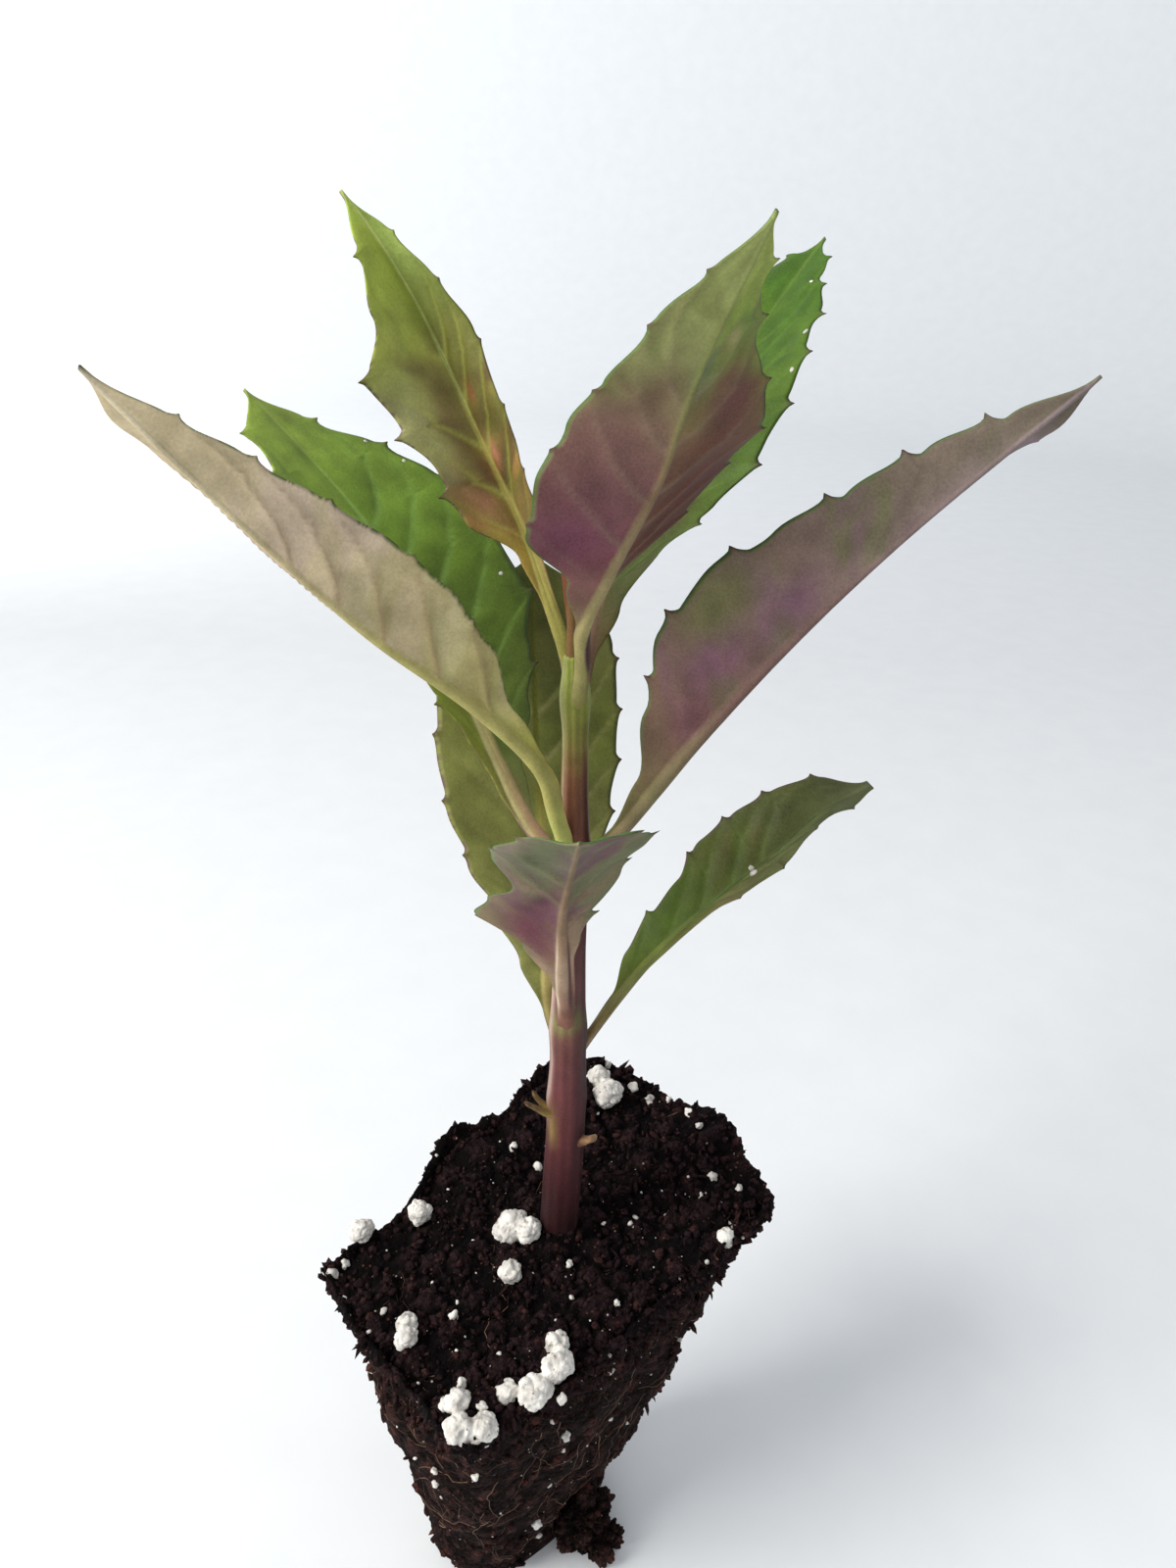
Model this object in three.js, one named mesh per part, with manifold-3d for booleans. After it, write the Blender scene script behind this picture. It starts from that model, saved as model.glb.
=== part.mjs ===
// Okinawan spinach plug plant: a rooted cutting standing in its bare, tapering root ball.
// Millimetres, +Z up. The origin lies on the root ball's flat underside, straight below the middle
// of the soil surface, and +X runs along the ball's long side. Angles are degrees; a heading of 0
// points along +X and 90 along +Y.
import * as THREE from 'three';
import { mergeVertices } from 'three/addons/utils/BufferGeometryUtils.js';
import Module from 'manifold-3d';

// Driving dimensions
const GAP = 0.3; // clearance between pieces that touch
const BALL_HEIGHT = 60;
const BALL_TOP = [61, 39]; // long and short side at the soil surface
const BALL_BOTTOM = [33, 16];
const BALL_FOOT_SHIFT = -3.5; // the foot's middle lies this far along X from the top's
const BALL_TOP_RISE = 2.4; // the soil surface climbs this much from its middle to its +X end
const BALL_CORNERS = [0.2, 0.05]; // share by which plan corners are drawn in at the foot and top
const BALL_FOOT_DRAW = 0.1; // share by which the foot is drawn in, where crumbs have fallen away
const RIM_DROP = 1.2; // how far the ball's upper rim is worn down
const CLOD_HEIGHT = 1.3;
const CLOD_SIZE = 7;
const CLOD_FADE = 0.1; // share of the ball's height over which its clods grow from the flat underside
const BALL_CELLS = [17, 11, 15]; // grid cells of the ball along X, Y and Z
// Rises of the soil surface, with how far the rim stands out there: crumbs piled along the back
// edge and at the back corner, the shaggy right edge, and the collar round the stem
const MOUNDS = [
  { x: -1, y: 20, height: 5, spread: 8, overhang: 6 },
  { x: 16, y: 20, height: 7, spread: 9, overhang: 6 },
  { x: 27, y: 17, height: 2.4, spread: 12, overhang: 2 },
  { x: 32, y: -3, height: 4, spread: 10, overhang: 4 },
  { x: 1.5, y: 0.6, height: 2.4, spread: 8, overhang: 0 },
];
// Lumps of soil held at the foot: middle and size
const FOOT_LUMPS = [
  { at: [0.5, -9.6, 5], size: [11, 9, 11] },
  { at: [1.6, -13, 2.6], size: [8, 7, 6] },
];
const STEM_DEPTH = 14; // buried length
const STEM_SIDES = 14;
const STEM_RINGS = 34;
const STUB_SIDES = 8;
const STUB_RINGS = 6;
const BLADE = 0.7; // leaf thickness
const LEAF_STATIONS = 12; // even stations along a leaf; each tooth adds its own
const STATION_STEP = 0.004; // stations closer than this share of the length become one
const FOLD_SPAN = [0.05, 0.3]; // share of the length over which the halves start to fold up
const UNFOLD_SPAN = [0.85, 1]; // share over which they flatten out again towards the tip
const RIB_SPAN = [0, 0.8]; // share over which the petiole thins down to the blade
const TOOTH_DROP = 0.014; // share of the length in which a tooth falls back to the margin
const TOOTH_RUN = 0.1; // share over which the first tooth rises
const TIP_HALF_WIDTH = 0.35;
const KNOB_HEIGHT = 0.16; // knobs on a grain or lump, as a share of its radius
const KNOB_PITCH = 1.7; // knobs per radius
const RIB_EDGE = 0.7; // where the midrib ends on a blade too narrow for it, as a share of the half width
// Points across a blade from its left edge to its right: side, and share of the half width
const BLADE_COLUMNS = [[-1, 1], [-1, RIB_EDGE], [1, 0], [1, RIB_EDGE], [1, 1]];

// The stem's centre line as [x, y, height above the soil], and its radius at rising heights
const STEM_LINE = [
  [1.5, 0.6, -STEM_DEPTH],
  [1.5, 0.6, 0],
  [1.7, 0.4, 22],
  [1.4, 0.7, 44],
  [1.2, 0.9, 66],
  [0.8, 1.3, 84],
  [0.4, 1.6, 93],
];
const STEM_RADII = [
  [-14, 2.4], [0, 2.9], [8, 2.9], [24, 2.75], [40, 2.3], [64, 1.9], [84, 1.6], [93, 1.3],
];
// Swollen rings where leaves grow or have dropped: height, extra radius, spread
const STEM_NODES = [[26, 0.4, 2.2], [36, 0.4, 3], [65, 0.5, 3], [87, 0.35, 3]];
// What is left of dropped lower leaves, grown into the stem: a frayed dry leaf base and a bud
const STUBS = [
  { heading: 152, from: 25.5, reach: 6, rise: 4, root: 1.2, end: 0.5 },
  { heading: -30, from: 18, reach: 4.4, rise: 1.6, root: 1.5, end: 0.6 },
];

// Each leaf: heading from the stem; roll of the blade at its base and tip, right side up being
// positive; fold of the left and right half up from flat; petiole radius; midrib as [out, height
// above the soil, to the right]; half widths at 0.1 to 0.9 of its length on each side as seen from
// above with the tip ahead; tooth places as shares of the length; tooth size on the left and right;
// and whether its underside, the side it shows, is purple.
const LEAVES = [
  {
    name: 'leaf_lower_right',
    heading: -21,
    roll: [-15, -15],
    fold: [15, 35],
    petiole: 0.8,
    midrib: [
      [0, 31.6, 0], [7, 41.6, 0.2], [12, 48, 0.6], [20.5, 55, 0.4],
      [29.5, 61.5, 0.3], [36, 66.5, 0], [43.5, 70, 0],
    ],
    left: [0.8, 1.1, 3.6, 4.8, 5.6, 8.4, 8.4, 7.2, 5.0],
    right: [0.8, 1.1, 1.8, 2.2, 2.4, 5.4, 4.6, 3.8, 3.0],
    leftTeeth: [0.4, 0.56, 0.68, 0.8, 0.9],
    rightTeeth: [0.58, 0.7, 0.82, 0.92],
    tooth: [1.1, 1.1],
  },
  {
    name: 'leaf_lower_back',
    heading: 63,
    roll: [0, 0],
    fold: [8, 8],
    petiole: 1.1,
    midrib: [
      [0, 33, 0], [3.6, 39, -1.9], [5.7, 45.5, -2], [9, 55, -1.9],
      [14.5, 68, -1.9], [21, 80, -1.5], [31, 97.5, 0],
    ],
    left: [1.2, 4.0, 7.2, 10.8, 13.2, 14.0, 13.8, 11.8, 8.0],
    right: [2.2, 4.2, 6.0, 8.0, 9.8, 11.0, 11.4, 11.0, 8.6],
    leftTeeth: [0.3, 0.42, 0.52, 0.64, 0.78, 0.9],
    rightTeeth: [0.36, 0.48, 0.58, 0.68, 0.78, 0.9],
    tooth: [0.9, 0.9],
  },
  {
    name: 'leaf_lower_front',
    heading: -132,
    roll: [0, 0],
    fold: [12, 12],
    petiole: 1.2,
    purple: true,
    midrib: [
      [0, 39, 0], [5.2, 49, 0.9], [8.6, 56, 1.2], [13.5, 64.5, 1.4],
      [19.5, 73, 0.7], [30, 82.9, 0],
    ],
    left: [1.2, 1.5, 1.5, 2.4, 3.6, 7.6, 9.0, 9.4, 7.0],
    right: [1.2, 1.8, 6.0, 12.0, 9.6, 6.2, 9.0, 9.0, 6.0],
    leftTeeth: [0.5, 0.64, 0.8, 0.92],
    rightTeeth: [0.38, 0.52, 0.76, 0.9],
    tooth: [1.0, 1.0],
  },
  {
    name: 'leaf_middle_back',
    heading: 108,
    roll: [10, 10],
    fold: [12, 12],
    petiole: 1.2,
    midrib: [
      [0, 62, 0], [7.3, 68.5, -0.4], [11.5, 74, 0], [17.5, 82.5, 0.6],
      [26.5, 94, 1.8], [36.5, 104, 1.8], [53, 117.5, 0.3],
    ],
    left: [1.2, 2.0, 3.4, 5.5, 7.5, 9.0, 9.5, 8.6, 6.2],
    right: [1.2, 3.0, 7.5, 11.5, 15.0, 15.0, 13.8, 10.0, 4.6],
    leftTeeth: [0.36, 0.48, 0.6, 0.71, 0.82, 0.92],
    rightTeeth: [0.36, 0.48, 0.6, 0.7, 0.8, 0.9],
    tooth: [1.1, 1.1],
  },
  {
    name: 'leaf_middle_left',
    heading: -177,
    roll: [-30, -30],
    fold: [35, 42],
    petiole: 1.25,
    midrib: [
      [0, 64, 0], [3.4, 71.5, -0.2], [6.5, 79, -0.3], [14.5, 88, 2],
      [27, 98.5, 4.3], [39, 110, 4.2], [47.5, 118.5, 2.9], [56, 127, 0.3],
    ],
    left: [1.2, 1.4, 3.0, 7.0, 9.4, 9.0, 7.0, 4.8, 2.5],
    right: [1.2, 1.4, 3.0, 6.5, 9.0, 9.0, 7.4, 5.0, 2.6],
    leftTeeth: [0.44, 0.58, 0.7, 0.8, 0.9],
    rightTeeth: [0.4, 0.52, 0.64, 0.75, 0.86],
    tooth: [0.6, 0.6],
  },
  {
    name: 'leaf_middle_right',
    heading: -59,
    roll: [32, 66],
    fold: [56, 32],
    petiole: 1.25,
    purple: true,
    midrib: [
      [0, 63, 0], [5.4, 69.5, -0.1], [9.7, 76, -0.5], [16, 85.5, -1],
      [25, 98, -1.2], [35, 110.5, -1], [50.5, 128, 0.1],
    ],
    left: [1.3, 2.8, 7.0, 10.0, 10.6, 9.6, 7.6, 5.4, 3.0],
    right: [1.5, 3.0, 7.4, 12.0, 12.6, 10.2, 7.8, 5.6, 2.8],
    leftTeeth: [0.34, 0.46, 0.58, 0.7, 0.8, 0.9],
    rightTeeth: [0.34, 0.43, 0.55, 0.68, 0.78, 0.88],
    tooth: [1.1, 1.1],
  },
  {
    name: 'leaf_upper_left',
    heading: 121,
    roll: [40, 40],
    fold: [8, 58],
    petiole: 0.9,
    midrib: [
      [0, 86, 0], [1.5, 92, 0.2], [3.8, 97.5, 0.8], [7.5, 105.5, 1.7],
      [13.8, 116, 2.6], [19.6, 126.5, 2.7], [24, 134, 1.5], [29.2, 141, 0],
    ],
    left: [0.9, 0.9, 1.9, 6.2, 7.2, 9.0, 10.6, 7.4, 3.4],
    right: [0.9, 0.9, 1.2, 3.5, 4.6, 5.0, 4.8, 3.6, 1.8],
    leftTeeth: [0.46, 0.58, 0.7, 0.9],
    rightTeeth: [0.44, 0.56, 0.68, 0.8, 0.9],
    tooth: [1.3, 0.3],
  },
  {
    name: 'leaf_upper_front',
    heading: -105,
    roll: [0, 0],
    fold: [15, 15],
    petiole: 1.0,
    purple: true,
    midrib: [
      [0, 85, 0], [2.5, 91.5, 0.6], [4.2, 97, 1.6], [8.4, 105, 0.6],
      [15, 115.5, -0.6], [21, 125.5, 0], [31.6, 140.5, 0],
    ],
    left: [1.0, 1.0, 2.2, 11.0, 13.0, 11.0, 9.2, 5.6, 2.8],
    right: [1.0, 1.0, 4.6, 11.8, 12.6, 10.6, 8.4, 6.0, 3.0],
    leftTeeth: [0.4, 0.5, 0.6, 0.7, 0.82, 0.92],
    rightTeeth: [0.42, 0.56, 0.68, 0.8, 0.9],
    tooth: [0.9, 0.35],
  },
  {
    name: 'leaf_upper_right',
    heading: 8,
    roll: [0, 0],
    fold: [12, 12],
    petiole: 1.0,
    midrib: [
      [0, 84, 0], [2.8, 90.5, -1.1], [5.7, 97, -1.9], [12, 105, -1.2],
      [21.5, 115.5, -1.2], [31, 125, -1.1], [46.3, 139, 0],
    ],
    left: [1.0, 3.6, 7.6, 11.0, 12.6, 12.0, 10.6, 8.0, 4.6],
    right: [1.1, 3.6, 7.1, 10.0, 12.6, 12.2, 11.4, 8.6, 4.2],
    leftTeeth: [0.4, 0.52, 0.64, 0.76, 0.88, 0.95],
    rightTeeth: [0.36, 0.48, 0.6, 0.7, 0.8, 0.88, 0.95],
    tooth: [1.1, 1.1],
  },
  {
    name: 'shoot_leaf',
    heading: -170,
    roll: [0, 0],
    fold: [20, 20],
    petiole: 0.8,
    purple: true,
    midrib: [
      [0, 92, 0], [0.5, 96, 0], [1.3, 101, 0], [2.4, 106, 0.1], [3.4, 111, 0.3],
    ],
    left: [0.9, 1.2, 1.6, 2.0, 2.1, 2.0, 1.7, 1.3, 0.9],
    right: [0.9, 1.2, 1.6, 2.0, 2.1, 2.0, 1.7, 1.3, 0.9],
    leftTeeth: [0.6, 0.8],
    rightTeeth: [0.5, 0.74],
    tooth: [0.2, 0.2],
  },
];

// Perlite grains half sunk in the soil: each is one or more lumps as
// [x, y, lift above the soil surface, width, depth, height]
const PERLITE = [
  { name: 'perlite_by_stem', lumps: [[-4.8, 4.5, 0.4, 5.8, 4.8, 4.8], [-3.4, 1.7, 0.2, 4.2, 3.6, 3.8]] },
  { name: 'perlite_middle', lumps: [[-9.4, -1.3, 0.6, 3.6, 3.4, 3.2]] },
  { name: 'perlite_left', lumps: [[-25, 2.2, 0.5, 3.2, 3, 3], [-26.4, 0.4, 0.5, 3.6, 3, 3.2]] },
  { name: 'perlite_back_left', lumps: [[-12.6, 17, 0.3, 4, 3.6, 3.6]] },
  { name: 'perlite_left_edge', lumps: [[-21.2, 20, 0.4, 4.2, 3.4, 3.6]] },
  {
    name: 'perlite_back_corner',
    lumps: [[23.3, 13.7, 0.6, 5.4, 4.8, 5], [24, 17.1, 0.2, 4.4, 3.8, 4.2]],
  },
  {
    name: 'perlite_front_edge',
    lumps: [
      [-12, -14.9, 0.4, 3.6, 3.4, 3.4], [-13.8, -17.4, 0.2, 4.8, 4, 4.4],
      [-18, -17.6, 0, 5, 4.2, 4.4], [-20.6, -15, 0, 3.2, 3, 2.8],
    ],
  },
  {
    name: 'perlite_front_corner',
    lumps: [
      [-27, -12.6, 0.2, 3.6, 3.4, 3.2], [-28.8, -15.3, -0.8, 4, 4, 4.2], [-26.2, -17, -0.6, 4.4, 3.8, 4.2],
    ],
  },
  { name: 'perlite_right_edge', lumps: [[19.2, -17.4, -0.3, 3.2, 2.8, 3]] },
];

const COLOURS = {
  soil: { color: 0x33251f, roughness: 0.95 },
  stem: { color: 0x7a4548, roughness: 0.5 },
  leafGreen: { color: 0x4f7a35, roughness: 0.5 },
  leafPurple: { color: 0x6e4a55, roughness: 0.55 },
  perlite: { color: 0xeeebe6, roughness: 0.9 },
};

const wasm = await Module();
wasm.setup();

const radians = (degrees) => (degrees * Math.PI) / 180;
const mix = THREE.MathUtils.lerp;

// Value of a list of [place, value] pairs at a place between them
function along(pairs, place) {
  if (place <= pairs[0][0]) return pairs[0][1];
  for (let i = 1; i < pairs.length; i += 1) {
    const [a, va] = pairs[i - 1];
    const [b, vb] = pairs[i];
    if (place <= b) return mix(va, vb, THREE.MathUtils.smoothstep(place, a, b));
  }
  return pairs[pairs.length - 1][1];
}

// A repeatable random number from 0 to 1 for a whole-number cell
function cellValue(i, j, k) {
  const n = Math.sin(i * 127.1 + j * 311.7 + k * 74.7) * 43758.5453;
  return n - Math.floor(n);
}

// Smooth noise from -1 to 1 with one lump per unit
function noise(x, y, z) {
  const [i, j, k] = [Math.floor(x), Math.floor(y), Math.floor(z)];
  const [u, v, w] = [x - i, y - j, z - k].map((t) => t * t * (3 - 2 * t));
  let sum = 0;
  for (const a of [0, 1]) {
    for (const b of [0, 1]) {
      for (const c of [0, 1]) {
        const weight = (a ? u : 1 - u) * (b ? v : 1 - v) * (c ? w : 1 - w);
        sum += weight * cellValue(i + a, j + b, k + c);
      }
    }
  }
  return sum * 2 - 1;
}

// Joined positions of a three.js geometry, each moved by a function
function reshaped(geometry, move) {
  geometry.deleteAttribute('normal');
  geometry.deleteAttribute('uv');
  const joined = mergeVertices(geometry, 1e-5);
  const position = joined.getAttribute('position');
  const point = new THREE.Vector3();
  for (let i = 0; i < position.count; i += 1) {
    const moved = move(point.fromBufferAttribute(position, i));
    position.setXYZ(i, moved.x, moved.y, moved.z);
  }
  return joined;
}

function toSolid(geometry) {
  return new wasm.Manifold(new wasm.Mesh({
    numProp: 3,
    vertProperties: new Float32Array(geometry.getAttribute('position').array),
    triVerts: new Uint32Array(geometry.getIndex().array),
  }));
}

function fromSolid(solid) {
  const { vertProperties, triVerts } = solid.getMesh();
  const geometry = new THREE.BufferGeometry();
  geometry.setAttribute('position', new THREE.BufferAttribute(vertProperties, 3));
  geometry.setIndex(new THREE.BufferAttribute(triVerts, 1));
  geometry.computeVertexNormals();
  return geometry;
}

// Share of a mound's height left at a point of the soil surface
function moundShare({ x, y, spread }, atX, atY) {
  return Math.exp(-((atX - x) ** 2 + (atY - y) ** 2) / spread ** 2);
}

// Height of the soil surface above the underside, before its clods
function soilLevel(x, y) {
  const slope = (BALL_TOP_RISE * x) / (BALL_TOP[0] / 2);
  return MOUNDS.reduce(
    (sum, mound) => sum + mound.height * moundShare(mound, x, y),
    BALL_HEIGHT + slope,
  );
}

function clod(x, y, z) {
  return CLOD_HEIGHT * noise(x / CLOD_SIZE, y / CLOD_SIZE, z / CLOD_SIZE);
}

// How far the rim stands out beyond the taper at a point
function overhang(x, y) {
  return MOUNDS.reduce((sum, mound) => sum + mound.overhang * moundShare(mound, x, y), 0);
}

// The tapering block: a gridded box drawn in at its corners and foot, with clods on every face but
// its underside, which stays flat. The powers keep each change close to the end it belongs to.
function taperedBlock() {
  const onFace = 0.999;
  const grid = new THREE.BoxGeometry(2, 2, 1, ...BALL_CELLS);
  return reshaped(grid, ({ x, y, z }) => {
    const level = z + 0.5;
    const drawnIn = mix(...BALL_CORNERS, level ** 3) * (x * y) ** 2 + BALL_FOOT_DRAW * (1 - level) ** 5;
    const halfLong = (mix(BALL_BOTTOM[0], BALL_TOP[0], level) / 2) * (1 - drawnIn);
    const halfShort = (mix(BALL_BOTTOM[1], BALL_TOP[1], level) / 2) * (1 - drawnIn);
    const point = new THREE.Vector3(x * halfLong + BALL_FOOT_SHIFT * (1 - level), y * halfShort, 0);
    point.z = soilLevel(point.x, point.y) * level;
    const bump = clod(point.x, point.y, point.z) * THREE.MathUtils.smoothstep(level, 0, CLOD_FADE);
    const out = bump + overhang(point.x, point.y) * level ** 4;
    const toEdge = Math.max(Math.abs(x), Math.abs(y));
    if (level > onFace) point.z += bump - RIM_DROP * toEdge ** 8;
    if (toEdge > onFace) {
      point.x += (out * x) / Math.hypot(x, y);
      point.y += (out * y) / Math.hypot(x, y);
    }
    return point;
  });
}

// A knobbly ball of the given size, grown by a clearance
function lump([x, y, z], [width, depth, height], grow = 0) {
  return toSolid(reshaped(new THREE.IcosahedronGeometry(1, 1), (point) => {
    const knob = 1 + KNOB_HEIGHT * noise(
      point.x * KNOB_PITCH + x,
      point.y * KNOB_PITCH + y,
      point.z * KNOB_PITCH,
    );
    return new THREE.Vector3(
      x + point.x * (knob * width / 2 + grow),
      y + point.y * (knob * depth / 2 + grow),
      z + point.z * (knob * height / 2 + grow),
    );
  }));
}

function joined(solids) {
  return solids.reduce((whole, part) => whole.add(part));
}

function rootBall() {
  const lumps = FOOT_LUMPS.map(({ at, size }) => lump(at, size));
  return joined([toSolid(taperedBlock()), ...lumps]).trimByPlane([0, 0, 1], 0);
}

// A round piece swept along a curve, its radius given at each share of the way and grown all
// round, ends included, by a clearance
function sweep(curve, radiusAt, rings, sides, grow = 0) {
  const frames = curve.computeFrenetFrames(rings, false);
  const rod = new THREE.CylinderGeometry(1, 1, 1, sides, rings);
  return reshaped(rod, ({ x, y, z }) => {
    const ring = Math.round((y + 0.5) * rings);
    const share = ring / rings;
    const radius = radiusAt(share) + grow;
    const point = curve.getPointAt(share)
      .addScaledVector(frames.normals[ring], x * radius)
      .addScaledVector(frames.binormals[ring], -z * radius);
    if (ring === 0) point.addScaledVector(frames.tangents[ring], -grow);
    if (ring === rings) point.addScaledVector(frames.tangents[ring], grow);
    return point;
  });
}

const stemCurve = new THREE.CatmullRomCurve3(
  STEM_LINE.map(([x, y, height]) => new THREE.Vector3(x, y, BALL_HEIGHT + height)),
);

function stemRadius(share) {
  const height = stemCurve.getPointAt(share).z - BALL_HEIGHT;
  return STEM_NODES.reduce(
    (radius, [at, extra, spread]) => radius + extra * Math.exp(-(((height - at) / spread) ** 2)),
    along(STEM_RADII, height),
  );
}

// Point on the stem's centre line at a height above the soil
function stemAt(height) {
  let [low, high] = [0, 1];
  for (let i = 0; i < 24; i += 1) {
    const middle = (low + high) / 2;
    if (stemCurve.getPointAt(middle).z < BALL_HEIGHT + height) low = middle;
    else high = middle;
  }
  return stemCurve.getPointAt(low);
}

// Unit vector along a heading
function headed(heading) {
  return new THREE.Vector3(Math.cos(radians(heading)), Math.sin(radians(heading)), 0);
}

function stub({ heading, from, reach, rise, root, end }) {
  const start = stemAt(from);
  const out = headed(heading);
  const bend = start.clone().addScaledVector(out, reach * 0.6).setZ(start.z + rise * 0.3);
  const tip = start.clone().addScaledVector(out, reach).setZ(start.z + rise);
  const curve = new THREE.QuadraticBezierCurve3(start, bend, tip);
  return toSolid(sweep(curve, (share) => mix(root, end, share), STUB_RINGS, STUB_SIDES));
}

function stem(grow = 0) {
  return toSolid(sweep(stemCurve, stemRadius, STEM_RINGS, STEM_SIDES, grow));
}

// Half width of a blade on one side at a share of its length, teeth included
function halfWidth(leaf, side, share) {
  const [widths, teeth, size] = side < 0
    ? [leaf.left, leaf.leftTeeth, leaf.tooth[0]]
    : [leaf.right, leaf.rightTeeth, leaf.tooth[1]];
  const places = widths.map((width, i) => [(i + 1) / 10, width]);
  const smooth = along([[0, leaf.petiole], ...places, [1, TIP_HALF_WIDTH]], share);
  let tooth = 0;
  teeth.forEach((place, i) => {
    const start = i > 0 ? teeth[i - 1] + TOOTH_DROP : place - TOOTH_RUN;
    if (share > start && share <= place) tooth = ((share - start) / (place - start)) ** 3;
    if (share > place && share < place + TOOTH_DROP) tooth = 1 - (share - place) / TOOTH_DROP;
  });
  return smooth + size * tooth;
}

function leafCurve({ heading, midrib }) {
  const out = headed(heading);
  const right = new THREE.Vector3(out.y, -out.x, 0);
  const root = stemAt(midrib[0][1]);
  const points = midrib.map(([reach, height, aside]) => new THREE.Vector3(root.x, root.y, 0)
    .addScaledVector(out, reach)
    .addScaledVector(right, aside)
    .setZ(BALL_HEIGHT + height));
  return new THREE.CatmullRomCurve3(points);
}

// Shares of the length at which a leaf gets a row of points: even steps and both ends of each
// tooth's fall
function leafStations({ leftTeeth, rightTeeth }) {
  const even = Array.from({ length: LEAF_STATIONS + 1 }, (_, i) => i / LEAF_STATIONS);
  const cuts = [...leftTeeth, ...rightTeeth].flatMap((place) => [place, place + TOOTH_DROP]);
  return [...even, ...cuts]
    .sort((a, b) => a - b)
    .filter((share, i, all) => i === 0 || share - all[i - 1] > STATION_STEP);
}

// A folded blade on its petiole. Each station is a row of points across the midrib, once on
// the upper face and once below, so both faces are split into triangles alike.
function leafBlade(leaf) {
  const curve = leafCurve(leaf);
  const stations = leafStations(leaf);
  const positions = [];
  stations.forEach((share) => {
    const middle = curve.getPointAt(share);
    const ahead = curve.getTangentAt(share);
    const level = new THREE.Vector3(ahead.y, -ahead.x, 0).normalize();
    const right = level.applyAxisAngle(ahead, -radians(mix(...leaf.roll, share)));
    const up = new THREE.Vector3().crossVectors(right, ahead);
    const rib = mix(leaf.petiole, BLADE / 2, THREE.MathUtils.smoothstep(share, ...RIB_SPAN));
    const folded = THREE.MathUtils.smoothstep(share, ...FOLD_SPAN)
      * (1 - THREE.MathUtils.smoothstep(share, ...UNFOLD_SPAN));
    for (const face of [1, -1]) {
      for (const [side, step] of BLADE_COLUMNS) {
        const edge = halfWidth(leaf, side, share);
        const beside = step === RIB_EDGE ? Math.min(Math.max(rib, BLADE), edge * step) : edge * step;
        const lean = step > 0 ? folded * radians(leaf.fold[side < 0 ? 0 : 1]) : 0;
        const half = Math.max(BLADE / 2, Math.sqrt(Math.max(0, rib ** 2 - beside ** 2)));
        const point = middle.clone()
          .addScaledVector(right, side * (beside * Math.cos(lean) - face * half * Math.sin(lean)))
          .addScaledVector(up, beside * Math.sin(lean) + face * half * Math.cos(lean));
        positions.push(point.x, point.y, point.z);
      }
    }
  });
  return bladeGeometry(positions, stations.length);
}

// Joins the rows of a blade: upper face, lower face, both edges and both ends
function bladeGeometry(positions, rows) {
  const across = BLADE_COLUMNS.length;
  const last = rows - 1;
  const at = (row, lower, column) => (row * 2 + lower) * across + column;
  const index = [];
  const quad = (a, b, c, d) => index.push(a, b, c, a, c, d);
  for (let row = 0; row < last; row += 1) {
    for (let column = 0; column < across - 1; column += 1) {
      const upper = [[row, column], [row, column + 1], [row + 1, column + 1], [row + 1, column]]
        .map(([r, c]) => at(r, 0, c));
      const [a, b, c, d] = upper.map((corner) => corner + across);
      quad(...upper);
      index.push(a, c, b, a, d, c);
    }
    const end = across - 1;
    quad(at(row, 0, 0), at(row + 1, 0, 0), at(row + 1, 1, 0), at(row, 1, 0));
    quad(at(row, 1, end), at(row + 1, 1, end), at(row + 1, 0, end), at(row, 0, end));
  }
  for (let column = 0; column < across - 1; column += 1) {
    quad(at(0, 1, column), at(0, 1, column + 1), at(0, 0, column + 1), at(0, 0, column));
    quad(at(last, 0, column), at(last, 0, column + 1), at(last, 1, column + 1), at(last, 1, column));
  }
  const geometry = new THREE.BufferGeometry();
  geometry.setAttribute('position', new THREE.Float32BufferAttribute(positions, 3));
  geometry.setIndex(index);
  return geometry;
}

// A grain of perlite half sunk in the soil
function grain({ lumps }, grow = 0) {
  return joined(lumps.map(([x, y, lift, ...size]) => {
    const level = soilLevel(x, y);
    return lump([x, y, level + clod(x, y, level) + lift], size, grow);
  }));
}

function named(name, solid, look) {
  const mesh = new THREE.Mesh(fromSolid(solid), new THREE.MeshStandardMaterial(look));
  mesh.name = name;
  return mesh;
}

function build() {
  const plant = new THREE.Group();
  const clearance = stem(GAP);
  const sockets = PERLITE.map((each) => grain(each, GAP));
  plant.add(named('root_ball', rootBall().subtract(joined([clearance, ...sockets])), COLOURS.soil));
  plant.add(named('stem', joined([stem(), ...STUBS.map(stub)]), COLOURS.stem));
  LEAVES.forEach((leaf) => {
    const blade = toSolid(leafBlade(leaf)).subtract(clearance);
    plant.add(named(leaf.name, blade, leaf.purple ? COLOURS.leafPurple : COLOURS.leafGreen));
  });
  PERLITE.forEach((each) => plant.add(named(each.name, grain(each), COLOURS.perlite)));
  return plant;
}

export default build();
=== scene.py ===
"""Looks of an okinawan spinach plug plant: leaves, stem, soil, perlite, floor, light and camera."""

import itertools
import logging
import math
import random
from dataclasses import dataclass, field
from enum import Enum

import bmesh
import bpy
import numpy as np
from bpy.types import ID, Curve, Material, Mesh, Node, NodeTree, Object
from bpy.types import NodeSocket as Socket
from mathutils import Matrix, Vector, noise
from mathutils.bvhtree import BVHTree

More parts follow.
